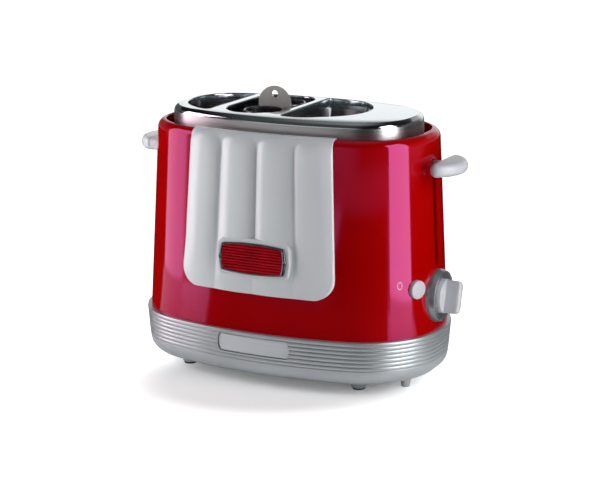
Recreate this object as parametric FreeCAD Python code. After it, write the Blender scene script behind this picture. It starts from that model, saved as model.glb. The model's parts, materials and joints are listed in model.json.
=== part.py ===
"""Hot dog toaster, in millimetres: +X is the end with the lever and the dial, -Y the front, +Z up.

The origin is on the surface that the feet stand on, under the middle of the housing. Every level section
of the housing is one oval of eight tangent arcs, grown or shrunk by an offset, so a wall is a profile of
(offset, height) points turned round that oval.
"""
import FreeCAD, Part
import math
import os

V = FreeCAD.Vector

# ---- Driving dimensions -------------------------------------------------------------------------------

# Oval of the housing, where the shell meets the base
HALF_LENGTH = 121.3
HALF_DEPTH = 75.1
SIDE_RADIUS = 313.0
END_RADIUS = 400.0
CORNER_RADIUS = 63.1

# Heights above the table
FLOOR_Z = 7.7          # underside of the base
RIB_Z = 20.3           # lowest rib of the base
SEAM_Z = 43.0          # shell stands on the base
RIM_Z = 190.5          # top of the shell's rim
LEDGE_Z = 185.5        # recessed ledge that carries the steel cap
DECK_Z = 206.3         # steel cooking deck

# Base
BASE_WALL = 2.5
BASE_LIP = 3.2         # how far the base stands outside the shell
BASE_TUCK = 7.5        # how far its underside is drawn in
BASE_BULGE = 1.4       # offset of the belly just under the ribs
RIB_COUNT = 7
RIB_DEPTH = 1.0
RIB_SLOPE = 0.25       # share of a rib's pitch that its sloping side takes
FOOT_X, FOOT_Y = HALF_LENGTH - 47.3, HALF_DEPTH - 31.6
FOOT_TOP_R, FOOT_END_R = 8.0, 5.4
STUB_X, STUB_Y = HALF_LENGTH - 17.3, 23.0
STUB_TOP_R, STUB_END_R = 4.6, 3.2
PAD_HEIGHT = 1.2
PAD_R = 4.8

# Shell
SHELL_WALL = 2.5
SHELL_DRAFT = 7.9      # how far the wall leans in from the seam to the rim
SHOULDER_R = 6.5
RIM_INNER = 14.2       # offset of the rim's inner edge
LEDGE_INNER = 24.0
LEDGE_THICK = 2.5

# Steel cap
CAP_WALL = 20.5        # offset of the cap's upright wall
CAP_TOP = 24.9         # offset at which the rounded edge ends
CAP_EDGE_R = 4.4
CAP_CROWN = 1.6        # how far the deck falls from its flat to its edge
CROWN_OFFSET = 33.0    # offset of the flat's edge
CAP_SHEET = 1.0

# Cooking chamber: its ends stand back from the housing's ends
LEFT_BAY = 25.7
RIGHT_BAY = 71.7
CAVITY_X = (LEFT_BAY - RIGHT_BAY) / 2
CHAMBER_HALF_X = HALF_LENGTH - (LEFT_BAY + RIGHT_BAY) / 2
CHAMBER_HALF_Y = HALF_DEPTH - 35.5
CHAMBER_Z0, CHAMBER_Z1 = 24.0, 181.0
ROD_TABS = (CHAMBER_Z0 + 4.0, CHAMBER_Z1 - 2.0)    # heights of the tabs that hold the guide rod

# Openings in the deck, the left one narrower than the right one
BUN_LEFT_CHORD = -31.5      # straight side, from the middle of the chamber
BUN_LEFT_FAR = 4.6 - CHAMBER_HALF_X
BUN_LEFT_R = HALF_DEPTH - CAP_TOP - 8.2
BUN_RIGHT_CHORD = 29.8
BUN_RIGHT_FAR = CHAMBER_HALF_X + 10.4
BUN_RIGHT_R = HALF_DEPTH - CAP_TOP - 5.2
BUN_CORNER_R = 4.0
CENTRE_HALF_X = 24.0
CENTRE_HALF_Y = HALF_DEPTH - CAP_TOP - 6.2
CENTRE_CORNER_R = 20.0
FLANGE_DEPTH = 8.0

# Front panel, badge and nameplate
PANEL_PROUD = 0.5
PANEL_SINK = 1.3
PANEL_HALF_LOW = 64.8
PANEL_HALF_TOP = 59.3
PANEL_LOW_Z = 72.0
PANEL_CORNER_R = 16.0
PANEL_GAP = 0.15
LOBE_RISE = 2.6
VALLEY_RISE = 0.15      # height of the valleys between the lobes above the panel's face
LOBE_PITCH = 33.2      # between neighbouring lobes, at the panel's foot
LOBE_HEAD_Z = 184.0
LOBE_HEAD_R = 12.0
PANEL_FADE_Z = 108.0   # the valleys between the lobes run out below this height
PANEL_FADE = 1.1
BADGE_Z = 99.0
BADGE_WIDTH, BADGE_HEIGHT = 57.0, 20.0
BADGE_BOW = 2.2
BADGE_CORNER_R = 3.0
BADGE_RIM = 1.8
BADGE_THICK = 2.0
BADGE_TAB_R, BADGE_TAB_INSET = 2.3, 1.0    # round tab in the middle of each end
BADGE_RIB_PITCH, BADGE_RIB_GROOVE = 1.9, 0.7
PAD_MARGIN = 2.6
PAD_RISE = 0.7         # the badge's pad above the crests of the lobes
NAME_Z0, NAME_Z1 = 26.2, 39.4
NAME_WIDTH = 60.0
NAME_BOW = 1.6
NAME_SINK = 1.6        # offset of the seat behind the nameplate
NAME_FACE = 3.5        # offset of the nameplate's face

# Dial, timer and cancel button
DIAL_Z = 68.6
BEZEL_R = 21.0
BEZEL_FACE_X = HALF_LENGTH + 4.7
BEZEL_SEAT_R = 14.2
KNOB_R = 13.6
KNOB_END_X = BEZEL_FACE_X + 13.0
GRIP_WIDTH, GRIP_HEIGHT = 7.6, 25.4
GRIP_TURN = -16.0      # degrees about +X that the grip bar stands off the vertical
SHAFT_R = 3.0
TIMER_R = 14.0
BUSH_R, BUSH_END = 4.2, 2.6
NUT_R, NUT_THICK = 7.0, 2.2
BUTTON_TURN = 23.0     # degrees round the front right corner, from +X towards -Y
BUTTON_Z = 79.6
BUTTON_R = 7.2
BUTTON_PROUD = 3.0
BUTTON_TRAVEL = 2.4
BUTTON_DEPTH = 5.5     # of the cap behind the wall's face
STEM_R, STEM_LENGTH = 2.5, 5.0

# Lever and left handle
LEVER_TRAVEL = 70.0
LEVER_LOW_Z, LEVER_HIGH_Z = 164.5, 175.0
PADDLE_R = 27.6
PADDLE_REACH = HALF_LENGTH + 18.9    # from the middle of the housing to the lever's tip
HANDLE_REACH = HALF_LENGTH + 15.5
PADDLE_BACK = 20.2     # from the tip to the paddle's straight back
PADDLE_TIP_R = 4.5
PADDLE_EDGE_R = 3.6
ARM_WIDTH = 4.0
ARM_HEIGHT = 7.0
SLOT_WIDTH = 5.6
SLOT_LOW_Z, SLOT_HIGH_Z = 92.5, 178.0
HANDLE_NECK = 16.0

# Chassis and heaters
SHEET = 1.2
BOARD_THICK = 0.6
OUTER_BOARD = CHAMBER_HALF_X - 1.4    # from the middle of the chamber to the outer mica boards
INNER_BOARD = 27.6
RIBBON_THICK, RIBBON_WIDTH = 0.4, 2.0
RIBBON_ROWS = 6
GUARD_GAP = 2.6        # from a board's face to the middle of its guard wires
GUARD_WIRE_R = 0.9
GUARD_WIRES = (12.0, 22.0, 32.0)
BEAM_SLOT = 11.0       # width of the slots that the carriage beam runs in
CHUTE_WALL = 0.6
CHUTE_Z0 = 168.0
NECK_Z = CHAMBER_Z1 + 2.0   # below this height a chute is a straight neck
NECK_WIDTH = 37.5
NECK_HALF_Y = CHAMBER_HALF_Y - 2.1

# Carriage
TRAY_Z = 118.0
TRAY_THICK = 1.2
TRAY_HALF_Y = CHAMBER_HALF_Y - 8.6
BEAM_WIDTH, BEAM_HEIGHT = 7.0, 6.0
SLIDER_X = CAVITY_X + CHAMBER_HALF_X + SHEET + 11.2
SLIDER_SIZE = (16.0, 24.0, 24.0)
ROD_R = 2.5
RUN_GAP = 0.06         # radial clearance of a running fit
SOFT_GAP = 0.3         # clearance between pieces that move past each other

# Sausage basket
BASKET_X = CAVITY_X + 3.5
TUBE_R, TUBE_WALL = 15.0, 0.8
TUBE_Y = TUBE_R + 4.0
TUBE_TOP_Z = DECK_Z - 2.4
TUBE_RING_R = 0.9
TAB_WIDTH, TAB_TOP_Z = 28.0, DECK_Z + 14.0
TAB_THICK = 1.5
TAB_HOLE_R = 3.0
TAB_HOLE_DROP = 6.4    # of the hole's middle below the tab's top
CLIP_WIDTH, CLIP_HEIGHT, CLIP_INSET = 6.0, 5.0, 5.0

# Crumb tray
CRUMB_X0, CRUMB_X1 = CAVITY_X + 12.6 - CHAMBER_HALF_X, CAVITY_X - 12.6 + CHAMBER_HALF_X
CRUMB_Y0, CRUMB_Y1 = 25.1 - HALF_DEPTH, HALF_DEPTH - 14.0
CRUMB_HEIGHT = 7.0
CRUMB_SHEET = 0.9
CRUMB_GAP = 0.4
CRUMB_GRIP = 50.0      # width of the finger recess in its front

# Electrics in the right-hand bay
BOARD_X = HALF_LENGTH - 25.3
PCB_THICK = 1.6
PCB_HALF_Y, PCB_TOP_Z = HALF_DEPTH - 35.1, 88.0
GROMMET_X, GROMMET_Z = HALF_LENGTH - 59.3, 30.0
GROMMET_R, CORD_R = 6.5, 3.6
GROMMET_IN, GROMMET_OUT = 8.0, 6.5    # its ends, from the wall's face
GROMMET_FLANGE = 1.7
TERMINAL_PITCH, TERMINAL_R = 7.0, 1.8

# Fasteners
SCREW_R, SCREW_HEAD_R, SCREW_HEAD = 1.5, 3.0, 2.0
BOSS_R = 4.5

WALL_SLOPE = SHELL_DRAFT / (RIM_Z - SEAM_Z)
WALL_TILT = math.degrees(math.atan(WALL_SLOPE))
ARM_Z = (LEVER_LOW_Z + LEVER_HIGH_Z) / 2


# ---- Oval and profiles --------------------------------------------------------------------------------

def corner_centre():
    """Centre of the corner arc that is tangent to the long side's arc and to the end's arc."""
    side_y, end_x = HALF_DEPTH - SIDE_RADIUS, HALF_LENGTH - END_RADIUS
    from_side, from_end = SIDE_RADIUS - CORNER_RADIUS, END_RADIUS - CORNER_RADIUS
    span = math.hypot(end_x, side_y)
    along = (from_side ** 2 - from_end ** 2 + span ** 2) / (2 * span)
    across = math.sqrt(from_side ** 2 - along ** 2)
    ux, uy = end_x / span, -side_y / span
    return along * ux + across * uy, side_y + along * uy - across * ux


CORNER_X, CORNER_Y = corner_centre()
END_TURN = math.atan2(CORNER_Y, CORNER_X - HALF_LENGTH + END_RADIUS)
SIDE_TURN = math.atan2(CORNER_Y - HALF_DEPTH + SIDE_RADIUS, CORNER_X)


def oval_arcs():
    """The oval's eight arcs, anticlockwise from the right-hand end, as (centre x, y, radius, start, end)."""
    end_x, side_y = HALF_LENGTH - END_RADIUS, HALF_DEPTH - SIDE_RADIUS
    pi = math.pi
    return [
        (end_x, 0, END_RADIUS, -END_TURN, END_TURN),
        (CORNER_X, CORNER_Y, CORNER_RADIUS, END_TURN, SIDE_TURN),
        (0, side_y, SIDE_RADIUS, SIDE_TURN, pi - SIDE_TURN),
        (-CORNER_X, CORNER_Y, CORNER_RADIUS, pi - SIDE_TURN, pi - END_TURN),
        (-end_x, 0, END_RADIUS, pi - END_TURN, pi + END_TURN),
        (-CORNER_X, -CORNER_Y, CORNER_RADIUS, pi + END_TURN, pi + SIDE_TURN),
        (0, -side_y, SIDE_RADIUS, pi + SIDE_TURN, 2 * pi - SIDE_TURN),
        (CORNER_X, -CORNER_Y, CORNER_RADIUS, 2 * pi - SIDE_TURN, 2 * pi - END_TURN),
    ]


def polyline_pieces(points, closed=False):
    """Lines and fillet arcs of a flat polyline of (u, v) or (u, v, fillet radius) points."""
    flat = [V(p[0], p[1], 0) for p in points]
    radii = [p[2] if len(p) > 2 else 0 for p in points]
    count = len(flat)
    ends = []
    arcs = []
    for i, (p, r) in enumerate(zip(flat, radii)):
        inner = closed or 0 < i < count - 1
        if not (r and inner):
            ends.append((p, p))
            arcs.append(None)
            continue
        back = (flat[i - 1] - p).normalize()
        ahead = (flat[(i + 1) % count] - p).normalize()
        half = back.getAngle(ahead) / 2
        cut = r / math.tan(half)
        middle = p + (back + ahead).normalize() * (r / math.sin(half) - r)
        ends.append((p + back * cut, p + ahead * cut))
        arcs.append(middle)
    pieces = []
    for i in range(count):
        if arcs[i] is not None:
            pieces.append((ends[i][0], arcs[i], ends[i][1]))
        j = (i + 1) % count
        if (closed or i < count - 1) and (ends[j][0] - ends[i][1]).Length > 1e-6:
            pieces.append((ends[i][1], ends[j][0]))
    return pieces


def wire_of(pieces, place):
    """A wire of the pieces, each point put in space by place(u, v)."""
    edges = []
    for piece in pieces:
        at = [place(p.x, p.y) for p in piece]
        curve = Part.LineSegment(*at) if len(at) == 2 else Part.Arc(*at)
        edges.append(curve.toShape())
    return Part.Wire(edges)


def outline(points, plane="XY", level=0.0):
    """A closed face in a plane of the frame, from (u, v, fillet) points."""
    places = {
        "XY": lambda u, v: V(u, v, level),
        "XZ": lambda u, v: V(u, level, v),
        "YZ": lambda u, v: V(level, u, v),
    }
    return Part.Face(wire_of(polyline_pieces(points, True), places[plane]))


def solid_of(faces):
    """One solid from faces that meet edge to edge."""
    sewn = Part.makeCompound(faces)
    sewn.sewShape()
    solid = Part.Solid(sewn.Shells[0])
    if solid.Volume < 0:
        solid.reverse()
    return solid


def turned_faces(pieces):
    """The faces that a profile of (offset, height) pieces leaves when it is turned round the oval."""
    faces = []
    for cx, cy, radius, start, end in oval_arcs():
        ux, uy = math.cos(start), math.sin(start)

        def place(offset, height):
            return V(cx + ux * (radius + offset), cy + uy * (radius + offset), height)

        wire = wire_of(pieces, place)
        faces += wire.revolve(V(cx, cy, 0), V(0, 0, 1), math.degrees(end - start)).Faces
    return faces


def oval_face(offset, height):
    """Level face inside the oval at an offset."""
    edges = []
    for cx, cy, radius, start, end in oval_arcs():
        circle = Part.Circle(V(cx, cy, height), V(0, 0, 1), radius + offset)
        edges.append(Part.ArcOfCircle(circle, start, end).toShape())
    return Part.Face(Part.Wire(edges))


def oval_body(points):
    """Filled body whose wall follows an open profile of (offset, height, fillet) points, bottom to top."""
    faces = turned_faces(polyline_pieces(points))
    for p in (points[0], points[-1]):
        faces.append(oval_face(p[0], p[1]))
    return solid_of(faces)


def oval_ring(points):
    """Ring whose section is a closed profile of (offset, height, fillet) points."""
    return solid_of(turned_faces(polyline_pieces(points, True)))


def wall_offset(z, proud=0.0):
    """Offset of the shell's leaning wall at a height."""
    return proud - WALL_SLOPE * (z - SEAM_Z)


def wall_normal_point(turn, offset):
    """Point and outward direction on a corner arc, at an angle from +X in degrees."""
    a = math.radians(turn)
    sign = -1 if turn < 0 else 1
    out = V(math.cos(a), math.sin(a), 0)
    return V(CORNER_X, sign * CORNER_Y, 0) + out * (CORNER_RADIUS + offset), out


def side_y(x, offset=0.0):
    """Depth of the long side's arc at x, as a positive number."""
    return math.sqrt((SIDE_RADIUS + offset) ** 2 - x ** 2) - SIDE_RADIUS + HALF_DEPTH


# ---- Small helpers ------------------------------------------------------------------------------------

def box(x0, x1, y0, y1, z0, z1):
    return Part.makeBox(x1 - x0, y1 - y0, z1 - z0, V(x0, y0, z0))


def rod(start, end, radius):
    start, end = V(*start), V(*end)
    return Part.makeCylinder(radius, (end - start).Length, start, end - start)


def prism(points, z0, z1):
    return outline(points, "XY", z0).extrude(V(0, 0, z1 - z0))


def front_prism(points, y0, y1):
    return outline(points, "XZ", y0).extrude(V(0, y1 - y0, 0))


def end_prism(points, x0, x1):
    return outline(points, "YZ", x0).extrude(V(x1 - x0, 0, 0))


def fused(shapes):
    first, rest = shapes[0], list(shapes[1:])
    return first.multiFuse(rest).removeSplitter() if rest else first


def rounded(shape, radius, chosen):
    """The shape with a fillet on each edge for which chosen(edge) holds."""
    edges = [e for e in shape.Edges if chosen(e)]
    return shape.makeFillet(radius, edges)


def screw(tip, head_end):
    """Round-headed screw from its tip to its head's outer face."""
    tip, head_end = V(*tip), V(*head_end)
    along = (head_end - tip).normalize()
    neck = head_end - along * SCREW_HEAD
    shank = Part.makeCylinder(SCREW_R, (neck - tip).Length, tip, along)
    head = Part.makeCylinder(SCREW_HEAD_R, SCREW_HEAD, neck, along)
    return fused([shank, head])


# ---- Base ---------------------------------------------------------------------------------------------

def base_profile():
    """Outer side of the base, from its underside up to the seam."""
    points = [(-BASE_TUCK, FLOOR_Z), (0.3, FLOOR_Z + 2.4, 10.0), (BASE_BULGE, RIB_Z)]
    pitch = (SEAM_Z - RIB_Z) / RIB_COUNT
    for i in range(RIB_COUNT):
        low = RIB_Z + i * pitch
        crest = BASE_BULGE + (BASE_LIP - BASE_BULGE) * (i + 1) / RIB_COUNT
        points += [
            (crest - RIB_DEPTH, low),
            (crest, low + RIB_SLOPE * pitch),
            (crest, low + (1 - RIB_SLOPE / 2) * pitch),
        ]
    points[-1] = (BASE_LIP, SEAM_Z)
    return points


BOSSES = [(CAVITY_X + s * (CHAMBER_HALF_X - 5.0), y) for s in (-1, 1) for y in (-24.0, 24.0)]


def name_outline(gap):
    """Outline of the nameplate, with ends that bow outwards, grown by a gap."""
    w, bow = NAME_WIDTH / 2 + gap, NAME_BOW
    z0, z1 = NAME_Z0 - gap, NAME_Z1 + gap
    mid = (z0 + z1) / 2
    edges = [
        Part.LineSegment(V(-w, 0, z0), V(w, 0, z0)),
        Part.Arc(V(w, 0, z0), V(w + bow, 0, mid), V(w, 0, z1)),
        Part.LineSegment(V(w, 0, z1), V(-w, 0, z1)),
        Part.Arc(V(-w, 0, z1), V(-w - bow, 0, mid), V(-w, 0, z0)),
    ]
    face = Part.Face(Part.Wire([e.toShape() for e in edges]))
    face.translate(V(0, -HALF_DEPTH - 20, 0))
    return face.extrude(V(0, HALF_DEPTH, 0))


def name_ring(outer):
    """Part of the base's wall zone from the nameplate's seat out to an offset."""
    low, high = NAME_Z0 - 2, NAME_Z1 + 2
    return oval_ring([(NAME_SINK, low), (outer, low), (outer, high), (NAME_SINK, high)])


def crumb_slot(gap):
    """Space that the crumb tray slides in, through the base's rear wall."""
    z0 = FLOOR_Z + BASE_WALL + SOFT_GAP
    return box(CRUMB_X0 - gap, CRUMB_X1 + gap, CRUMB_Y0 - gap, HALF_DEPTH + 20,
               z0 - gap * 0.5, z0 + CRUMB_HEIGHT + gap)


def foot(x, y, top_r, end_r, end_z):
    top_z = FLOOR_Z + BASE_WALL
    return Part.makeCone(end_r, top_r, top_z - end_z, V(x, y, end_z))


def make_base():
    outer = base_profile()
    shelf = SEAM_Z - BASE_WALL
    inner = [(BASE_LIP - 2 * BASE_WALL - 2.0, SEAM_Z), (BASE_LIP - 2 * BASE_WALL - 2.0, shelf),
             (-BASE_WALL + 0.6, shelf - 1.0), (-BASE_WALL + 0.2, RIB_Z + 2, 8.0),
             (-BASE_TUCK - 2.0, FLOOR_Z + BASE_WALL + 0.6, 2.0), (-BASE_TUCK - 6.0, FLOOR_Z + BASE_WALL)]
    hollow = oval_body(list(reversed(inner)))
    base = oval_body(outer).cut(hollow)
    added = [foot(sx * FOOT_X, sy * FOOT_Y, FOOT_TOP_R, FOOT_END_R, PAD_HEIGHT)
             for sx in (-1, 1) for sy in (-1, 1)]
    added += [foot(sx * STUB_X, sy * STUB_Y, STUB_TOP_R, STUB_END_R, 0)
              for sx in (-1, 1) for sy in (-1, 1)]
    floor = FLOOR_Z + BASE_WALL
    added += [rod((x, y, floor - 1), (x, y, CHAMBER_Z0), BOSS_R) for x, y in BOSSES]
    for side in (-1, 1):
        y = side * (PCB_HALF_Y - 6)
        added.append(box(BOARD_X - 3, BOARD_X + PCB_THICK + 3, y - 4, y + 4, floor - 1, floor + 8))
    base = base.fuse(added)
    cuts = [crumb_slot(CRUMB_GAP), name_outline(0.2).common(name_ring(BASE_LIP + 5))]
    cuts.append(box(BOARD_X - 0.1, BOARD_X + PCB_THICK + 0.1, -PCB_HALF_Y - 1, PCB_HALF_Y + 1,
                    floor + 2, floor + 9))
    for x, y in BOSSES:
        cuts.append(rod((x, y, 0), (x, y, CHAMBER_Z0 + 1), SCREW_R + 0.1))
        cuts.append(rod((x, y, 0), (x, y, FLOOR_Z + SCREW_HEAD + 1), SCREW_HEAD_R + 0.4))
    wall_y = side_y(GROMMET_X)
    cuts.append(rod((GROMMET_X, wall_y - 14, GROMMET_Z), (GROMMET_X, wall_y + 14, GROMMET_Z), GROMMET_R))
    return base.cut(cuts).removeSplitter()


def make_foot_pads():
    places = [(sx * FOOT_X, sy * FOOT_Y) for sx in (-1, 1) for sy in (-1, 1)]
    return Part.makeCompound([rod((x, y, 0), (x, y, PAD_HEIGHT), PAD_R) for x, y in places])


def make_nameplate():
    return name_outline(0).common(name_ring(NAME_FACE))


def make_base_screws():
    return Part.makeCompound([screw((x, y, CHAMBER_Z0 + SHEET + 2), (x, y, FLOOR_Z + 1)) for x, y in BOSSES])


def make_grommet():
    x, z = GROMMET_X, GROMMET_Z
    inner, outer = side_y(x) - GROMMET_IN, side_y(x) + GROMMET_OUT
    body = rod((x, inner, z), (x, outer, z), GROMMET_R - 0.05)
    flange = rod((x, outer - GROMMET_FLANGE, z), (x, outer, z), GROMMET_R + 2)
    return fused([body, flange]).cut(rod((x, inner - 1, z), (x, outer + 1, z), CORD_R))


# ---- Shell and front panel ----------------------------------------------------------------------------

def shell_profile():
    top_in = wall_offset(LEDGE_Z - LEDGE_THICK, -SHELL_WALL)
    return [
        (0, SEAM_Z), (-SHELL_DRAFT, RIM_Z, SHOULDER_R), (-RIM_INNER, RIM_Z),
        (-RIM_INNER - 0.2, LEDGE_Z), (-LEDGE_INNER, LEDGE_Z), (-LEDGE_INNER, LEDGE_Z - LEDGE_THICK),
        (top_in, LEDGE_Z - LEDGE_THICK, 3.0), (-SHELL_WALL, SEAM_Z),
    ]


def panel_band(inner, outer):
    """Closed profile of the wall zone between two distances from the shell's face, round the shoulder."""
    low = PANEL_LOW_Z - 6
    fade = PANEL_FADE if outer > 0 else 0
    far = [(wall_offset(low, outer + fade), low)]
    if fade:
        far += [(wall_offset(PANEL_LOW_Z + 8, outer + fade), PANEL_LOW_Z + 8),
                (wall_offset(PANEL_FADE_Z, outer), PANEL_FADE_Z)]
    far += [(-SHELL_DRAFT + outer, RIM_Z + outer, SHOULDER_R + outer), (-RIM_INNER, RIM_Z + outer)]
    near = [(-RIM_INNER, RIM_Z + inner), (-SHELL_DRAFT + inner, RIM_Z + inner, SHOULDER_R + inner),
            (wall_offset(low, inner), low)]
    return far + near


def recess_band():
    """Closed profile of the space that the panel's recess takes out of the shell's face."""
    low, inner, outer = PANEL_LOW_Z - 6, -PANEL_SINK, 3.0
    rim = -RIM_INNER - 0.3
    return [(wall_offset(low, outer), low), (-SHELL_DRAFT + outer, RIM_Z + outer), (rim, RIM_Z + outer),
            (rim, RIM_Z + inner), (-SHELL_DRAFT + inner, RIM_Z + inner, SHOULDER_R + inner),
            (wall_offset(low, inner), low)]


def panel_outline(gap):
    """Prism of the panel's outline as seen from the front, grown by a gap."""
    low, top = PANEL_LOW_Z - gap, RIM_Z + 4
    w0, w1 = PANEL_HALF_LOW + gap, PANEL_HALF_TOP + gap
    r = PANEL_CORNER_R + gap
    corners = [(-w0, low, r), (w0, low, r), (w1, top), (-w1, top)]
    return front_prism(corners, -HALF_DEPTH - 20, -HALF_DEPTH * 0.4)


def lobe_centre(x, z, depth):
    """Point at a depth under the panel's face, over the housing's x and z."""
    radius = SIDE_RADIUS + wall_offset(z, PANEL_PROUD)
    a = math.asin(x / radius)
    r = radius - depth
    return V(r * math.sin(a), -(HALF_DEPTH - SIDE_RADIUS) - r * math.cos(a), z)


def make_lobe(index):
    """One of the four convex lobes, a leaning cylinder whose head is rounded."""
    half = LOBE_PITCH / 2
    shrink = PANEL_HALF_TOP / PANEL_HALF_LOW
    radius = 1 / (2 * LOBE_RISE / half ** 2 + 1 / SIDE_RADIUS)
    x = (index - 1.5) * 2 * half
    low = lobe_centre(x, PANEL_LOW_Z - 5, radius - LOBE_RISE - VALLEY_RISE)
    top = lobe_centre(x * shrink, LOBE_HEAD_Z, radius - LOBE_RISE * shrink ** 2 - VALLEY_RISE)
    lobe = Part.makeCylinder(radius, (top - low).Length, low, top - low)
    head = [e for e in lobe.Edges
            if e.Curve.TypeId == "Part::GeomCircle" and e.CenterOfMass.z > LOBE_HEAD_Z - LOBE_HEAD_R]
    return lobe.makeFillet(LOBE_HEAD_R, head)


def badge_placement(proud):
    """Frame on the leaning front wall at the badge, a distance proud of the panel's face."""
    tilt = math.radians(WALL_TILT)
    out = V(0, -math.cos(tilt), math.sin(tilt))
    origin = V(0, -side_y(0, wall_offset(BADGE_Z)), BADGE_Z) + out * proud
    up = V(0, math.sin(tilt), math.cos(tilt))
    return FreeCAD.Placement(origin, FreeCAD.Rotation(V(1, 0, 0), up, out, "ZXY"))


def bowed_outline(width, height, bow, corner):
    """Face with four sides that bow outwards and rounded corners, about the origin."""
    w, h = width / 2, height / 2
    edges = [
        Part.Arc(V(-w, -h, 0), V(0, -h - bow, 0), V(w, -h, 0)).toShape(),
        Part.Arc(V(w, -h, 0), V(w + bow * 0.8, 0, 0), V(w, h, 0)).toShape(),
        Part.Arc(V(w, h, 0), V(0, h + bow, 0), V(-w, h, 0)).toShape(),
        Part.Arc(V(-w, h, 0), V(-w - bow * 0.8, 0, 0), V(-w, -h, 0)).toShape(),
    ]
    face = Part.Face(Part.Wire(edges))
    block = face.extrude(V(0, 0, 1))
    block = rounded(block, corner, lambda e: abs(e.tangentAt(e.FirstParameter).z) > 0.99)
    return [f for f in block.Faces if abs(f.CenterOfMass.z) < 1e-6][0]


def badge_block(grow, low, high):
    face = bowed_outline(BADGE_WIDTH + 2 * grow - 2 * BADGE_BOW, BADGE_HEIGHT + 2 * grow - 2 * BADGE_BOW,
                         BADGE_BOW, BADGE_CORNER_R + max(grow, -1.5))
    face.translate(V(0, 0, low))
    block = face.extrude(V(0, 0, high - low))
    block.Placement = badge_placement(0)
    return block


PAD_TOP = PANEL_PROUD + LOBE_RISE + PAD_RISE


def make_panel():
    band = oval_ring(panel_band(-PANEL_SINK, PANEL_PROUD))
    lobes = [make_lobe(i) for i in range(4)]
    backing = oval_body([(wall_offset(40, -0.2), 40), (wall_offset(RIM_Z - 3, -0.2), RIM_Z - 3)])
    raised = [lobe.cut(backing) for lobe in lobes]
    pad = badge_block(PAD_MARGIN, -3.0, PAD_TOP).cut(backing)
    panel = band.fuse(raised + [pad]).common(panel_outline(0))
    return panel.removeSplitter()


def make_shell():
    shell = oval_ring(shell_profile())
    recess = oval_ring(recess_band()).common(panel_outline(PANEL_GAP))
    cuts = [recess]
    cuts.append(end_prism([(-SLOT_WIDTH / 2, SLOT_LOW_Z, 2.7), (SLOT_WIDTH / 2, SLOT_LOW_Z, 2.7),
                           (SLOT_WIDTH / 2, SLOT_HIGH_Z, 2.7), (-SLOT_WIDTH / 2, SLOT_HIGH_Z, 2.7)],
                          HALF_LENGTH - 30, HALF_LENGTH + 10))
    cuts.append(rod((HALF_LENGTH - 20, 0, DIAL_Z), (HALF_LENGTH + 10, 0, DIAL_Z), BUSH_R + 0.1))
    cuts.append(rod((nut_seat_x(), 0, DIAL_Z), (HALF_LENGTH + 10, 0, DIAL_Z), NUT_R + 0.5))
    spot, out = button_frame()
    collar = Part.makeCylinder(BUTTON_R + 2.2, 7, spot - out * 8, out)
    inside = oval_body([(wall_offset(SEAM_Z, -1), SEAM_Z), (wall_offset(RIM_Z, -1), RIM_Z)])
    shell = shell.fuse(collar.common(inside))
    cuts.append(Part.makeCylinder(BUTTON_R + SOFT_GAP, 40, spot - out * 20, out))
    cuts.append(rod((-HALF_LENGTH - 10, 0, ARM_Z), (-HALF_LENGTH + 30, 0, ARM_Z), SCREW_R + 0.1))
    return shell.cut(cuts).removeSplitter()


def make_badge_frame():
    """Raised ring round the badge, with a round tab in the middle of each end."""
    tabs = []
    for side in (-1, 1):
        middle = V(side * (BADGE_WIDTH / 2 - BADGE_TAB_INSET), 0, PAD_TOP)
        tab = Part.makeCylinder(BADGE_TAB_R, BADGE_THICK + 0.3, middle)
        tab.Placement = badge_placement(0).multiply(tab.Placement)
        tabs.append(tab)
    outer = badge_block(0, PAD_TOP, PAD_TOP + BADGE_THICK).fuse(tabs)
    return outer.cut(badge_block(-BADGE_RIM, PAD_TOP - 1, PAD_TOP + BADGE_THICK + 2)).removeSplitter()


def make_badge_plate():
    """Plate of the badge with level ribs across its face."""
    plate = badge_block(-BADGE_RIM - 0.1, PAD_TOP, PAD_TOP + BADGE_THICK - 0.9)
    rows = int(BADGE_HEIGHT / BADGE_RIB_PITCH)
    cuts = []
    for i in range(rows + 1):
        y0 = (i - rows / 2) * BADGE_RIB_PITCH - BADGE_RIB_GROOVE / 2
        groove = box(-BADGE_WIDTH, BADGE_WIDTH, y0, y0 + BADGE_RIB_GROOVE,
                     PAD_TOP + BADGE_THICK - 1.5, PAD_TOP + BADGE_THICK)
        groove.Placement = badge_placement(0)
        cuts.append(groove)
    return plate.cut(cuts)


# ---- Steel cap and chutes -----------------------------------------------------------------------------

def half_round(chord, far, radius, level=0.0):
    """Level face between a straight side at x = chord and an arc out to x = far, with rounded corners."""
    side = 1 if far > chord else -1
    corner = BUN_CORNER_R
    centre = far - side * radius
    inset = chord + side * corner          # x of the corner arcs' centres
    reach = radius - corner
    across = math.sqrt(reach ** 2 - (inset - centre) ** 2)
    turn = math.atan2(across, inset - centre)

    def on_corner(y, angle):
        return V(inset + corner * math.cos(angle), y + corner * math.sin(angle), level)

    back = math.pi if side > 0 else 0.0
    middle = (turn + back) / 2
    ends = [on_corner(sign * across, sign * angle) for sign in (-1, 1) for angle in (back, middle, turn)]
    low_back, low_mid, low_arc, high_back, high_mid, high_arc = ends
    edges = [Part.Arc(low_back, low_mid, low_arc), Part.Arc(low_arc, V(far, 0, level), high_arc),
             Part.Arc(high_arc, high_mid, high_back), Part.LineSegment(high_back, low_back)]
    return Part.Face(Part.Wire([e.toShape() for e in edges]))


def bun_outline(side, grow=0.0, level=0.0):
    """Half-round bun opening, its straight side towards the middle of the chamber."""
    chord, far, radius = ((BUN_LEFT_CHORD, BUN_LEFT_FAR, BUN_LEFT_R) if side < 0
                          else (BUN_RIGHT_CHORD, BUN_RIGHT_FAR, BUN_RIGHT_R))
    return half_round(CAVITY_X + chord - side * grow, CAVITY_X + far + side * grow, radius + grow, level)


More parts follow.
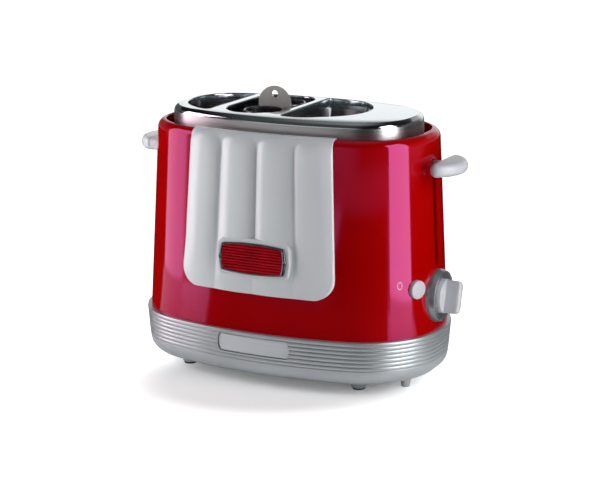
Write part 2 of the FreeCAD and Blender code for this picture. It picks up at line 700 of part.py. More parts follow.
def neck_outline(side, grow, level):
    """Half-round neck of a chute, inside the cooking chamber."""
    chord = BUN_LEFT_CHORD if side < 0 else -BUN_LEFT_CHORD
    return half_round(CAVITY_X + chord - side * grow, CAVITY_X + chord + side * (NECK_WIDTH + grow),
                      NECK_HALF_Y + grow, level)


def centre_outline(grow=0.0):
    x0, x1 = CAVITY_X - CENTRE_HALF_X - grow, CAVITY_X + CENTRE_HALF_X + grow
    y, r = CENTRE_HALF_Y + grow, CENTRE_CORNER_R + grow
    return outline([(x0, -y, r), (x1, -y, r), (x1, y, r), (x0, y, r)])


def openings(grow, z0, z1):
    """The three deck openings as upright blocks."""
    blocks = []
    for face in (bun_outline(-1, grow), centre_outline(grow), bun_outline(1, grow)):
        face.translate(V(0, 0, z0))
        blocks.append(face.extrude(V(0, 0, z1 - z0)))
    return blocks


def cap_body(inset, low):
    """Filled body of the cap, drawn in by an inset: wall, rounded edge, falling border and flat deck."""
    wall, top = -CAP_WALL - inset, DECK_Z - inset
    return oval_body([(wall, low), (wall, top - CAP_CROWN, CAP_EDGE_R - inset), (-CROWN_OFFSET, top),
                      (-CROWN_OFFSET - 1, top)])


def make_cap():
    cap = cap_body(0, LEDGE_Z).cut(cap_body(CAP_SHEET, LEDGE_Z - 1))
    cap = cap.fuse(openings(CAP_SHEET, DECK_Z - FLANGE_DEPTH, DECK_Z - 0.8 * CAP_SHEET))
    return cap.cut(openings(0, DECK_Z - FLANGE_DEPTH - 1, DECK_Z + 1)).removeSplitter()


def funnel(side, grow):
    """Filled form of a chute, from its neck out to the opening above it."""
    top_z = DECK_Z - FLANGE_DEPTH
    levels = [neck_outline(side, grow, CHUTE_Z0), neck_outline(side, grow, NECK_Z),
              bun_outline(side, grow, top_z)]
    neck, mouth = [Part.makeLoft([low.OuterWire, high.OuterWire], True, True)
                   for low, high in zip(levels, levels[1:])]
    return fused([neck, mouth])


def make_chute(side):
    """Polished guide that narrows from a bun opening to the space between the heaters."""
    return funnel(side, CHUTE_WALL).cut(funnel(side, 0))


# ---- Chassis and heaters ------------------------------------------------------------------------------

def make_chassis_plate(side):
    """Upright end plate of the cooking chamber, with feet on the base's bosses."""
    x0 = CAVITY_X + side * CHAMBER_HALF_X
    x1 = x0 + side * SHEET
    lo, hi = min(x0, x1), max(x0, x1)
    y = CHAMBER_HALF_Y + SHEET
    plate = box(lo, hi, -y, y, CHAMBER_Z0, CHAMBER_Z1)
    parts = [plate]
    for bx, by in BOSSES:
        if (bx - CAVITY_X) * side > 0:
            a, b = sorted((bx - side * (BOSS_R + 1), x0))
            parts.append(box(a, b, by - 6, by + 6, CHAMBER_Z0, CHAMBER_Z0 + SHEET))
    holes = [rod((bx, by, 0), (bx, by, CHAMBER_Z1), SCREW_R) for bx, by in BOSSES]
    if side > 0:
        half = BEAM_SLOT / 2
        for z in ROD_TABS:
            parts.append(box(hi - 0.1, SLIDER_X + 14, -14, 14, z, z + SHEET))
        holes.append(box(lo - 1, hi + 1, -half, half, CHAMBER_Z0 + 12, TRAY_Z + 8))
        holes.append(rod((SLIDER_X, 0, 0), (SLIDER_X, 0, RIM_Z), ROD_R + RUN_GAP))
    return fused(parts).cut(holes)


def make_reflector(side):
    """Polished side wall of the chamber, between the end plates."""
    x = CHAMBER_HALF_X
    y = side * CHAMBER_HALF_Y
    a, b = sorted((y, y + side * SHEET))
    return box(CAVITY_X - x, CAVITY_X + x, a, b, CHAMBER_Z0, CHAMBER_Z1)


BOARDS = {
    "left_outer": (-OUTER_BOARD, 1, False),
    "left_inner": (-INNER_BOARD, -1, True),
    "right_inner": (INNER_BOARD, 1, True),
    "right_outer": (OUTER_BOARD, -1, False),
}
BOARD_Z0, BOARD_Z1 = CHAMBER_Z0 + 4, CHUTE_Z0 - 1.0


def make_board(name):
    """Mica board; the inner ones are slotted for the carriage beam."""
    x, _, slotted = BOARDS[name]
    x += CAVITY_X
    half = BOARD_THICK / 2
    board = box(x - half, x + half, -CHAMBER_HALF_Y + 0.1, CHAMBER_HALF_Y - 0.1, BOARD_Z0, BOARD_Z1)
    if slotted or name == "right_outer":
        board = board.cut(box(x - 1, x + 1, -BEAM_SLOT / 2, BEAM_SLOT / 2, BOARD_Z0 - 1, TRAY_Z + 8))
    return board


def make_ribbon(name):
    """Heating ribbon that runs up and down the face of its mica board towards the bun."""
    x, face, _ = BOARDS[name]
    x0 = CAVITY_X + x + face * BOARD_THICK / 2
    a, b = sorted((x0, x0 + face * RIBBON_THICK))
    z0, z1 = BOARD_Z0 + 10, BOARD_Z1 - 8
    first, last = 9.5, CHAMBER_HALF_Y - 4
    step = (last - first) / (RIBBON_ROWS - 1)
    parts = []
    for side in (-1, 1):
        ys = [side * (first + i * step) for i in range(RIBBON_ROWS)]
        for i, y in enumerate(ys):
            parts.append(box(a, b, y - RIBBON_WIDTH / 2, y + RIBBON_WIDTH / 2, z0, z1))
            if i:
                lo, hi = sorted((ys[i - 1], y))
                z = z1 if i % 2 else z0 + RIBBON_WIDTH
                parts.append(box(a, b, lo, hi, z - RIBBON_WIDTH, z))
    parts.append(box(a, b, -first, first, z1 - RIBBON_WIDTH, z1))
    return fused(parts)


def make_guard(name):
    """Upright wires that keep a bun off its heater, between two bars."""
    x, face, _ = BOARDS[name]
    x += CAVITY_X + face * GUARD_GAP
    z0, z1 = BOARD_Z0 + 2, BOARD_Z1 - 2
    r = GUARD_WIRE_R
    parts = []
    for side in (-1, 1):
        for y in GUARD_WIRES:
            parts.append(rod((x, side * y, z0), (x, side * y, z1), r))
    reach = CHAMBER_HALF_Y - 0.2
    parts.append(box(x - r, x + r, -reach, reach, z1 - 2 * r, z1))
    for side in (-1, 1):
        a, b = sorted((side * (BEAM_SLOT / 2 + 2), side * reach))
        parts.append(box(x - r, x + r, a, b, z0, z0 + 2 * r))
    return fused(parts)


# ---- Carriage -----------------------------------------------------------------------------------------

def tray_outline(side):
    """Bun tray, half-round like the opening above it."""
    gap = GUARD_GAP + GUARD_WIRE_R + 1.0
    inner = CAVITY_X + side * (INNER_BOARD + gap)
    outer = CAVITY_X + side * (OUTER_BOARD - gap)
    y = TRAY_HALF_Y
    return [(inner, -y, 3), (outer, -y, 12), (outer, y, 12), (inner, y, 3)]


def make_bun_tray(side):
    """Perforated shelf under a bun, with a turned-up rim."""
    tray = prism(tray_outline(side), TRAY_Z, TRAY_Z + TRAY_THICK)
    middle = CAVITY_X + side * (INNER_BOARD + OUTER_BOARD) / 2
    cuts = []
    for i in range(-2, 3):
        if i:
            y = i * 11.0
            cuts.append(prism([(middle - 11, y - 2, 1.9), (middle + 11, y - 2, 1.9),
                               (middle + 11, y + 2, 1.9), (middle - 11, y + 2, 1.9)],
                              TRAY_Z - 1, TRAY_Z + TRAY_THICK + 1))
    return tray.cut(cuts)


def make_basket_rest():
    """Shelf that the sausage basket stands on."""
    y = TUBE_Y + TUBE_R + 1.5
    x0, x1 = BASKET_X - TUBE_R - 3.5, BASKET_X + TUBE_R + 3.5
    return prism([(x0, -y, 14), (x1, -y, 14), (x1, y, 14), (x0, y, 14)], TRAY_Z, TRAY_Z + TRAY_THICK)


def make_beam():
    """Bar through the chamber that carries the trays, from the left tray to the slider."""
    half = BEAM_WIDTH / 2
    left = CAVITY_X - OUTER_BOARD + 8
    right = SLIDER_X - SLIDER_SIZE[0] / 2
    shape = outline([(-half, TRAY_Z - BEAM_HEIGHT, 0), (half, TRAY_Z - BEAM_HEIGHT, 0), (half, TRAY_Z, 0),
                     (half - SHEET, TRAY_Z, 0), (half - SHEET, TRAY_Z - BEAM_HEIGHT + SHEET, 0),
                     (-half + SHEET, TRAY_Z - BEAM_HEIGHT + SHEET, 0), (-half + SHEET, TRAY_Z, 0),
                     (-half, TRAY_Z, 0)], "YZ", left)
    return shape.extrude(V(right - left, 0, 0))


def make_slider():
    """Block that runs on the guide rod."""
    sx, sy, sz = (s / 2 for s in SLIDER_SIZE)
    z0 = TRAY_Z - BEAM_HEIGHT
    block = box(SLIDER_X - sx, SLIDER_X + sx, -sy, sy, z0, z0 + 2 * sz)
    block = rounded(block, 1.5, lambda e: abs(e.tangentAt(e.FirstParameter).z) > 0.99)
    return block.cut(rod((SLIDER_X, 0, 0), (SLIDER_X, 0, RIM_Z), ROD_R + RUN_GAP))


def make_guide_rod():
    return rod((SLIDER_X, 0, ROD_TABS[0] - 2), (SLIDER_X, 0, ROD_TABS[1] + SHEET + 1.5), ROD_R)


ARM_X0 = SLIDER_X + SLIDER_SIZE[0] / 2


def make_lever_arm():
    """Steel arm that rises from the slider and passes out through the slot to the lever."""
    z0 = TRAY_Z - BEAM_HEIGHT
    low, high = ARM_Z - ARM_HEIGHT / 2, ARM_Z + ARM_HEIGHT / 2
    tip = PADDLE_REACH - 9
    half = ARM_WIDTH / 2
    side = outline([(ARM_X0, z0), (ARM_X0 + 8, z0, 2), (ARM_X0 + 8, low, 4), (tip, low, 1), (tip, high, 1),
                    (ARM_X0, high, 3)], "XZ", -half)
    return side.extrude(V(0, ARM_WIDTH, 0))


def paddle(reach, back):
    """Half-moon paddle that points along +X, with soft edges."""
    centre = reach - PADDLE_R
    dx = back - centre
    half = math.sqrt(PADDLE_R ** 2 - dx ** 2)
    left, tip, right = V(back, half, LEVER_LOW_Z), V(reach, 0, LEVER_LOW_Z), V(back, -half, LEVER_LOW_Z)
    edges = [Part.LineSegment(left, right).toShape(), Part.Arc(right, tip, left).toShape()]
    block = Part.Face(Part.Wire(edges)).extrude(V(0, 0, LEVER_HIGH_Z - LEVER_LOW_Z))
    block = rounded(block, PADDLE_TIP_R, lambda e: abs(e.tangentAt(e.FirstParameter).z) > 0.99)
    return rounded(block, PADDLE_EDGE_R, lambda e: e.BoundBox.ZLength < 1e-3)


def make_lever():
    lever = paddle(PADDLE_REACH, PADDLE_REACH - PADDLE_BACK)
    half = ARM_WIDTH / 2 + 0.05
    low, high = ARM_Z - ARM_HEIGHT / 2 - 0.05, ARM_Z + ARM_HEIGHT / 2 + 0.05
    pocket = box(0, PADDLE_REACH - 9, -half, half, low, high)
    hole = rod((PADDLE_REACH - 14, 0, 0), (PADDLE_REACH - 14, 0, LEVER_LOW_Z + 6), SCREW_R)
    sunk = rod((PADDLE_REACH - 14, 0, 0), (PADDLE_REACH - 14, 0, LEVER_LOW_Z + 0.6), SCREW_HEAD_R + 0.2)
    return lever.cut([pocket, hole, sunk])


def make_left_handle():
    """Fixed grip on the other end, the same half-moon on a short neck."""
    moon = paddle(HANDLE_REACH, HANDLE_REACH - PADDLE_BACK)
    neck = box(CORNER_X, HANDLE_REACH - PADDLE_BACK + 4, -HANDLE_NECK / 2, HANDLE_NECK / 2,
               LEVER_LOW_Z + 1.2, LEVER_HIGH_Z - 1.2)
    neck = rounded(neck, 2.5, lambda e: e.BoundBox.XLength > 5)
    inside = oval_body([(wall_offset(140), 140), (wall_offset(RIM_Z), RIM_Z)])
    grip = fused([moon, neck]).mirror(V(0, 0, 0), V(1, 0, 0)).cut(inside)
    return grip.cut(rod((-HANDLE_REACH + 12, 0, ARM_Z), (0, 0, ARM_Z), SCREW_R))


def make_handle_screw():
    x = -end_wall_x(ARM_Z) + SHELL_WALL + SCREW_HEAD + SOFT_GAP
    return screw((x - 12, 0, ARM_Z), (x, 0, ARM_Z))


def make_lever_screw():
    x = PADDLE_REACH - 14
    return screw((x, 0, ARM_Z - ARM_HEIGHT / 2), (x, 0, LEVER_LOW_Z + 0.6 - SCREW_HEAD))


def make_armature():
    """Steel plate that the electromagnet holds when the carriage is down."""
    z = TRAY_Z - BEAM_HEIGHT + 4
    leg = box(ARM_X0, ARM_X0 + 1.5, ARM_WIDTH / 2 + 1, SLIDER_SIZE[1] / 2, z, z + 10)
    plate = box(ARM_X0, ARM_X0 + 22, ARM_WIDTH / 2 + 4, 20, z, z + 2)
    return fused([leg, plate])


def make_spring():
    """Return spring beside the guide rod, from the slider up to the top tab."""
    z0 = TRAY_Z - BEAM_HEIGHT + SLIDER_SIZE[2]
    z1 = ROD_TABS[1]
    turns = 6
    x, y, r, wire = SLIDER_X, -8.2, 3.4, 0.5
    helix = Part.makeHelix((z1 - z0 - 2 * wire) / turns, z1 - z0 - 2 * wire, r)
    section = Part.makePolygon([V(r + a * wire, 0, b * wire)
                                for a, b in ((-1, -1), (1, -1), (1, 1), (-1, 1), (-1, -1))])
    coil = helix.makePipeShell([section], True, True)
    coil.translate(V(x, y, z0 + wire))
    return coil


# ---- Sausage basket -----------------------------------------------------------------------------------

def basket_foot_z():
    return TRAY_Z + TRAY_THICK + SOFT_GAP


def make_tube(side):
    """Steel sleeve for one sausage, open at the top, with long windows for the heat."""
    y, z0 = side * TUBE_Y, basket_foot_z()
    x = BASKET_X
    tube = rod((x, y, z0), (x, y, TUBE_TOP_Z), TUBE_R)
    ring = Part.makeTorus(TUBE_R - 0.1, TUBE_RING_R, V(x, y, TUBE_TOP_Z))
    tube = tube.fuse(ring).cut(rod((x, y, z0 + 1.0), (x, y, TUBE_TOP_Z + 5), TUBE_R - TUBE_WALL))
    cuts = []
    for angle in (45, 135, 225, 315):
        window = box(5, TUBE_R + 3, -5, 5, z0 + 8, TUBE_TOP_Z - 14)
        window.rotate(V(0, 0, 0), V(0, 0, 1), angle)
        window.translate(V(x, y, 0))
        cuts.append(window)
    cuts.append(rod((x, y, z0 - 1), (x, y, z0 + 2), 5.0))
    return tube.cut(cuts)


def make_tab():
    """Lifting plate between the sleeves, with a round head and a hole."""
    half, t = TAB_WIDTH / 2, TAB_THICK / 2
    shoulder = TAB_TOP_Z - half
    x = BASKET_X
    edges = [
        Part.LineSegment(V(x - half, -t, shoulder), V(x - half, -t, DECK_Z - 3)).toShape(),
        Part.LineSegment(V(x - half, -t, DECK_Z - 3), V(x - 9, -t, DECK_Z - 6)).toShape(),
        Part.LineSegment(V(x - 9, -t, DECK_Z - 6), V(x - 9, -t, basket_foot_z())).toShape(),
        Part.LineSegment(V(x - 9, -t, basket_foot_z()), V(x + 9, -t, basket_foot_z())).toShape(),
        Part.LineSegment(V(x + 9, -t, basket_foot_z()), V(x + 9, -t, DECK_Z - 6)).toShape(),
        Part.LineSegment(V(x + 9, -t, DECK_Z - 6), V(x + half, -t, DECK_Z - 3)).toShape(),
        Part.LineSegment(V(x + half, -t, DECK_Z - 3), V(x + half, -t, shoulder)).toShape(),
        Part.Arc(V(x + half, -t, shoulder), V(x, -t, TAB_TOP_Z), V(x - half, -t, shoulder)).toShape(),
    ]
    plate = Part.Face(Part.Wire(edges)).extrude(V(0, TAB_THICK, 0))
    hole_z = TAB_TOP_Z - TAB_HOLE_DROP
    hole = rod((x, -5, hole_z), (x, 5, hole_z), TAB_HOLE_R)
    return plate.cut(hole)


def make_tube_clips():
    """Cross strips that join the sleeves to the lifting plate."""
    clips = []
    x = BASKET_X
    for z in (basket_foot_z() + CLIP_INSET, TUBE_TOP_Z - CLIP_INSET - CLIP_HEIGHT):
        for side in (-1, 1):
            a, b = sorted((side * TAB_THICK / 2, side * (TUBE_Y - TUBE_R + 0.35)))
            clip = box(x - CLIP_WIDTH / 2, x + CLIP_WIDTH / 2, a, b, z, z + CLIP_HEIGHT)
            y = side * TUBE_Y
            clips.append(clip.cut(rod((x, y, 0), (x, y, TUBE_TOP_Z), TUBE_R)))
    return Part.makeCompound(clips)


# ---- Dial, timer and button ---------------------------------------------------------------------------

def end_wall_x(z):
    return HALF_LENGTH + wall_offset(z)


def turned_x(points):
    """Body of revolution about the dial's axis from (x, radius, fillet) points."""
    wire = wire_of(polyline_pieces(points, True), lambda u, v: V(u, 0, DIAL_Z + v))
    return Part.Face(wire).revolve(V(0, 0, DIAL_Z), V(1, 0, 0), 360)


def make_bezel():
    """Silver ring round the dial, cut to the shell's curve behind."""
    face = BEZEL_FACE_X
    ring = turned_x([(HALF_LENGTH - 12, BUSH_R + 3.4), (face - 3.6, BUSH_R + 3.4), (face - 3.6, BEZEL_SEAT_R),
                     (face - 0.6, BEZEL_SEAT_R), (face - 0.6, BEZEL_R - 2.2), (face, BEZEL_R - 2.0),
                     (face, BEZEL_R - 1.2), (face - 1.6, BEZEL_R), (HALF_LENGTH - 12, BEZEL_R)])
    inside = oval_body([(wall_offset(SEAM_Z), SEAM_Z), (wall_offset(140), 140)])
    base_zone = oval_body([(BASE_LIP + SOFT_GAP, FLOOR_Z), (BASE_LIP + SOFT_GAP, SEAM_Z)])
    return ring.cut([inside, base_zone])


KNOB_BACK_X = BEZEL_FACE_X - 3.0


def make_knob():
    """Knob with a grip bar across its face."""
    disc = turned_x([(KNOB_BACK_X, 0), (KNOB_BACK_X, KNOB_R), (BEZEL_FACE_X + 2.4, KNOB_R - 0.4, 1.2),
                     (BEZEL_FACE_X + 2.8, 0)])
    w, h = GRIP_WIDTH / 2, GRIP_HEIGHT / 2
    grip = box(BEZEL_FACE_X - 0.5, KNOB_END_X, -w, w, DIAL_Z - h, DIAL_Z + h)
    grip = rounded(grip, 2.4, lambda e: e.BoundBox.YLength > 1 and e.BoundBox.XMin > KNOB_END_X - 0.1)
    grip = rounded(grip, 1.1, lambda e: e.BoundBox.YLength < 1e-3)
    end = KNOB_END_X + 1
    reach = turned_x([(KNOB_BACK_X, 0), (KNOB_BACK_X, KNOB_R), (end, KNOB_R - 0.9), (end, 0)])
    grip.rotate(V(0, 0, DIAL_Z), V(1, 0, 0), GRIP_TURN)
    knob = fused([disc, grip.common(reach)])
    return knob.cut(rod((KNOB_BACK_X - 1, 0, DIAL_Z), (KNOB_BACK_X + 9, 0, DIAL_Z), SHAFT_R))


def make_shaft():
    return rod((BOARD_X + PCB_THICK + 4, 0, DIAL_Z), (KNOB_BACK_X + 8.8, 0, DIAL_Z), SHAFT_R - 0.02)


def timer_face_x():
    return end_wall_x(DIAL_Z) - SHELL_WALL - 1.6


def make_timer():
    """Timer on the control board, its threaded bush through the shell."""
    x0, x1 = BOARD_X + PCB_THICK, timer_face_x()
    case = rod((x0, 0, DIAL_Z), (x1, 0, DIAL_Z), TIMER_R)
    bush = rod((x1, 0, DIAL_Z), (end_wall_x(DIAL_Z) + BUSH_END, 0, DIAL_Z), BUSH_R)
    bore = rod((x0 + 3.8, 0, DIAL_Z), (x1 + 20, 0, DIAL_Z), SHAFT_R + RUN_GAP)
    return fused([case, bush]).cut(bore)


def nut_seat_x():
    """Face of the flat that the timer's nut sits on, sunk a little into the leaning wall."""
    return end_wall_x(DIAL_Z) - (NUT_R + 0.5) * WALL_SLOPE


def make_timer_nut():
    x0 = nut_seat_x()
    corners = [math.radians(a) for a in range(0, 361, 60)]
    nut = Part.makePolygon([V(x0, NUT_R * math.cos(a), DIAL_Z + NUT_R * math.sin(a)) for a in corners])
    body = Part.Face(nut).extrude(V(NUT_THICK, 0, 0))
    return body.cut(rod((x0 - 1, 0, DIAL_Z), (x0 + NUT_THICK + 1, 0, DIAL_Z), BUSH_R + 0.02))


def button_frame():
    spot, out = wall_normal_point(-BUTTON_TURN, wall_offset(BUTTON_Z))
    spot.z = BUTTON_Z
    return spot, out


def make_button():
    """Cancel button, a domed cap on a stem."""
    spot, out = button_frame()
    cap = Part.makeCylinder(BUTTON_R, BUTTON_PROUD + BUTTON_DEPTH, spot - out * BUTTON_DEPTH, out)
    top = [e for e in cap.Edges if e.Curve.TypeId == "Part::GeomCircle"
           and (e.CenterOfMass - spot).dot(out) > 0]
    cap = cap.makeFillet(1.6, top)
    stem = Part.makeCylinder(STEM_R, STEM_LENGTH + 0.2, spot - out * (BUTTON_DEPTH + STEM_LENGTH), out)
    return fused([cap, stem])


def make_cancel_switch():
    """Switch on the control board behind the button, square to the button's axis."""
    spot, out = button_frame()
    reach = BUTTON_DEPTH + STEM_LENGTH + BUTTON_TRAVEL + SOFT_GAP
    body = Part.makeBox(14, 8, 8, V(-14, -4, -4))
    body.Placement = FreeCAD.Placement(spot - out * reach, FreeCAD.Rotation(V(1, 0, 0), out))
    front = BOARD_X + PCB_THICK
    return body.common(box(front, front + 60, -200, 200, 0, 200))


def make_control_board():
    floor = FLOOR_Z + BASE_WALL
    return box(BOARD_X, BOARD_X + PCB_THICK, -PCB_HALF_Y, PCB_HALF_Y, floor + 2, PCB_TOP_Z)


MAGNET_Y0, MAGNET_Y1 = ARM_WIDTH / 2 + 6, 20.0
MAGNET_Z0 = ROD_TABS[0]
MAGNET_TOP = TRAY_Z - BEAM_HEIGHT + 4 - LEVER_TRAVEL - SOFT_GAP


def make_magnet_yoke():
    """E-shaped iron core under the armature, fixed to the control board."""
    x1 = BOARD_X
    x0 = ARM_X0 + 6
    y0, y1 = MAGNET_Y0 + 3, MAGNET_Y1 - 3
    yoke = box(x0, x1, y0, y1, MAGNET_Z0, MAGNET_TOP)
    mid, arm = (x0 + ARM_X0 + 22) / 2, 3.0
    for a, b in ((x0 + 2.5, mid - arm), (mid + arm, ARM_X0 + 22)):
        yoke = yoke.cut(box(a, b, y0 - 1, y1 + 1, MAGNET_Z0 + 2.5, MAGNET_TOP + 1))
    return yoke


def make_magnet_coil():
    x0 = ARM_X0 + 6
    mid = (x0 + ARM_X0 + 22) / 2
    coil = box(x0 + 2.7, ARM_X0 + 21.8, MAGNET_Y0, MAGNET_Y1, MAGNET_Z0 + 2.6, MAGNET_TOP - 2.0)
    return coil.cut(box(mid - 3.05, mid + 3.05, MAGNET_Y0 + 2.95, MAGNET_Y1 - 2.95, 0, RIM_Z))


def make_microswitch():
    """Switch on the chassis that the slider closes at the bottom of its travel."""
    x0 = CAVITY_X + CHAMBER_HALF_X + SHEET
    top = TRAY_Z - BEAM_HEIGHT - LEVER_TRAVEL - SOFT_GAP
    body = box(x0, x0 + 7, -11, -5, ROD_TABS[0] + SHEET, top - 1.5)
    key = box(x0 + 3, x0 + 5.5, -9, -7, top - 1.6, top)
    return fused([body, key])


def make_terminal_block():
    floor = FLOOR_Z + BASE_WALL
    x0, y1 = GROMMET_X - 8, side_y(GROMMET_X) - 19
    block = box(x0, x0 + 3 * TERMINAL_PITCH + 1, y1 - 12, y1, floor, floor + 12)
    cuts = []
    for i in range(3):
        x = x0 + 4 + i * TERMINAL_PITCH
        cuts.append(rod((x, y1 - 20, floor + 5), (x, y1 + 10, floor + 5), TERMINAL_R))
    return block.cut(cuts)


# ---- Crumb tray ---------------------------------------------------------------------------------------

def make_crumb_tray():
    """Sheet tray that slides out at the back."""
    z0 = FLOOR_Z + BASE_WALL + SOFT_GAP
    tray = box(CRUMB_X0, CRUMB_X1, CRUMB_Y0, CRUMB_Y1, z0, z0 + CRUMB_HEIGHT)
    t = CRUMB_SHEET
    inside = box(CRUMB_X0 + t, CRUMB_X1 - t, CRUMB_Y0 + t, CRUMB_Y1 - t, z0 + t, z0 + 2 * CRUMB_HEIGHT)
    return tray.cut(inside)


def make_crumb_front():
    """Front of the crumb tray, which closes the slot flush with the base."""
    behind = box(-HALF_LENGTH, HALF_LENGTH, CRUMB_Y1, 2 * HALF_DEPTH, 0, SEAM_Z)
    front = crumb_slot(0).common(behind).common(oval_body(base_profile()))
    x0, x1, y0, y1 = CAVITY_X - CRUMB_GRIP / 2, CAVITY_X + CRUMB_GRIP / 2, CRUMB_Y1 + 3, 2 * HALF_DEPTH
    grip = prism([(x0, y0, 3), (x1, y0, 3), (x1, y1), (x0, y1)],
                 0, FLOOR_Z + BASE_WALL + SOFT_GAP + CRUMB_HEIGHT - 2.2)
    return front.cut(grip)


# ---- Build --------------------------------------------------------------------------------------------

def nodes():
    made = {
        "base": make_base(),
        "foot_pads": make_foot_pads(),
        "base_screws": make_base_screws(),
        "nameplate": make_nameplate(),
        "cord_grommet": make_grommet(),
        "shell": make_shell(),
        "front_panel": make_panel(),
        "badge_frame": make_badge_frame(),
        "badge_plate": make_badge_plate(),
        "top_cap": make_cap(),
        "left_handle": make_left_handle(),
        "handle_screw": make_handle_screw(),
        "guide_rod": make_guide_rod(),
        "carriage_beam": make_beam(),
        "basket_rest": make_basket_rest(),
        "slider_block": make_slider(),
        "lever_arm": make_lever_arm(),
        "lever": make_lever(),
        "lever_screw": make_lever_screw(),
        "armature_plate": make_armature(),
        "carriage_spring": make_spring(),
        "lifting_tab": make_tab(),
        "tube_clips": make_tube_clips(),
        "dial_bezel": make_bezel(),
        "dial_knob": make_knob(),
        "dial_shaft": make_shaft(),
        "timer": make_timer(),
        "timer_nut": make_timer_nut(),
        "cancel_button": make_button(),
        "cancel_switch": make_cancel_switch(),
        "control_board": make_control_board(),
        "magnet_yoke": make_magnet_yoke(),
        "magnet_coil": make_magnet_coil(),
        "microswitch": make_microswitch(),
        "terminal_block": make_terminal_block(),
        "crumb_tray": make_crumb_tray(),
        "crumb_tray_front": make_crumb_front(),
    }
    for side, name in ((-1, "left"), (1, "right")):
        made["bun_chute_" + name] = make_chute(side)
        made["bun_tray_" + name] = make_bun_tray(side)
        made["chassis_plate_" + name] = make_chassis_plate(side)
    for side, name in ((-1, "front"), (1, "rear")):
        made["reflector_" + name] = make_reflector(side)
        made["sausage_tube_" + name] = make_tube(side)
    for name in BOARDS:
        made["mica_board_" + name] = make_board(name)
        made["heating_ribbon_" + name] = make_ribbon(name)
        made["bun_guard_" + name] = make_guard(name)
    return made


os.makedirs("parts", exist_ok=True)
for node, shape in nodes().items():
    shape.exportStep("parts/" + node + ".step")
    valid = "" if shape.isValid() else "  NOT VALID"
    print(f"{node:28s} {len(shape.Solids)} solids {shape.Volume:12.1f} mm3{valid}")
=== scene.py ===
"""Hot dog toaster: the looks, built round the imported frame.

Lengths are in millimetres and become metres where a mesh is made. Every level section of the housing is one
oval of eight tangent arcs, so a wall is a profile of (offset, height) points turned round that oval.
"""
import json
import math

import bmesh
import bpy
from mathutils import Matrix, Vector
from mathutils.bvhtree import BVHTree
from mathutils.interpolate import poly_3d_calc


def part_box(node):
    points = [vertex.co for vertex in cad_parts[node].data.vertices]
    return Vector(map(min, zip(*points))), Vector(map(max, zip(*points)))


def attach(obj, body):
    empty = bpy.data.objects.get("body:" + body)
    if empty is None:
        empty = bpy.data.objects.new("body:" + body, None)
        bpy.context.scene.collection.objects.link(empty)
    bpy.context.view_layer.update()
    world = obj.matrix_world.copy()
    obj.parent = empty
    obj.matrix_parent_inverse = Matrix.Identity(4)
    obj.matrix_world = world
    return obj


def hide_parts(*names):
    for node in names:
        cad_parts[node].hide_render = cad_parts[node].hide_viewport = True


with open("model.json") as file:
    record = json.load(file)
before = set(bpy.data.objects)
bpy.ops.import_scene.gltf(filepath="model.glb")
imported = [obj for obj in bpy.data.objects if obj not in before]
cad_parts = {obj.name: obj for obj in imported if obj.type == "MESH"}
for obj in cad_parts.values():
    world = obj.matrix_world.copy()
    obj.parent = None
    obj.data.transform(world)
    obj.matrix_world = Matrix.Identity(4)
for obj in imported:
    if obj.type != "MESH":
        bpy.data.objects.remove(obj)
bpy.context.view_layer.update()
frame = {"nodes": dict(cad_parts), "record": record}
scene = bpy.context.scene
MM = 0.001

# ---- Dimensions ---------------------------------------------------------------------------------------

# Oval of the housing at the seam
HALF_LENGTH, HALF_DEPTH = 121.3, 75.1
SIDE_RADIUS, END_RADIUS, CORNER_RADIUS = 313.0, 400.0, 63.1
END_X, SIDE_Y = HALF_LENGTH - END_RADIUS, HALF_DEPTH - SIDE_RADIUS    # centres of the end and side arcs
ARC_STEP = 2.5

# Heights above the table
FLOOR_Z, RIB_Z, SEAM_Z, RIM_Z, LEDGE_Z, DECK_Z = 7.7, 20.3, 43.0, 193.6, 185.5, 206.3

# Base
BASE_WALL, BASE_LIP, BASE_TUCK, BASE_BULGE = 2.5, 3.2, 7.5, 1.4
RIB_COUNT, RIB_DEPTH, RIB_SHAPE, RIB_STEPS, CRUMB_GAP = 7, 1.25, 0.6, 9, 0.4
# Feet as (x, y, radius at the base, radius at the end, height of the end)
FEET = ((74.0, 43.5, 8.0, 5.4, 1.2), (104.0, 23.0, 4.6, 3.2, 0.0))

# Shell
SHELL_WALL, SHELL_DRAFT, SHOULDER_R = 2.5, 8.06, 6.5
RIM_INNER, RIM_EDGE, LEDGE_INNER = 14.2, 1.1, 24.0
WALL_SLOPE = SHELL_DRAFT / (RIM_Z - SEAM_Z)
WALL_TILT = math.atan(WALL_SLOPE)
SLOT_WIDTH, SLOT_LOW_Z, SLOT_HIGH_Z = 5.6, 92.5, 174.6

# Front panel
PANEL_PROUD, PANEL_SINK, PANEL_EDGE = 0.5, 1.3, 0.8
PANEL_HALF_LOW, PANEL_HALF_TOP, PANEL_LOW_Z, PANEL_CORNER_R = 64.8, 59.3, 73.4, 16.0
LOBE_RISE, LOBE_HEAD_Z, LOBE_HEAD = 3.8, 182.5, 10.5
LOBE_PITCH_LOW, LOBE_PITCH_TOP = 33.8, 30.3
LOBE_POWER, HEAD_POWER, VALLEY_SOFT = 2.3, 2.2, 0.0008
FADE_LOW_Z, FADE_HIGH_Z, FADE_KEEP = 76.0, 112.0, 0.25
PANEL_ROWS, PANEL_COLUMNS = 70, 120

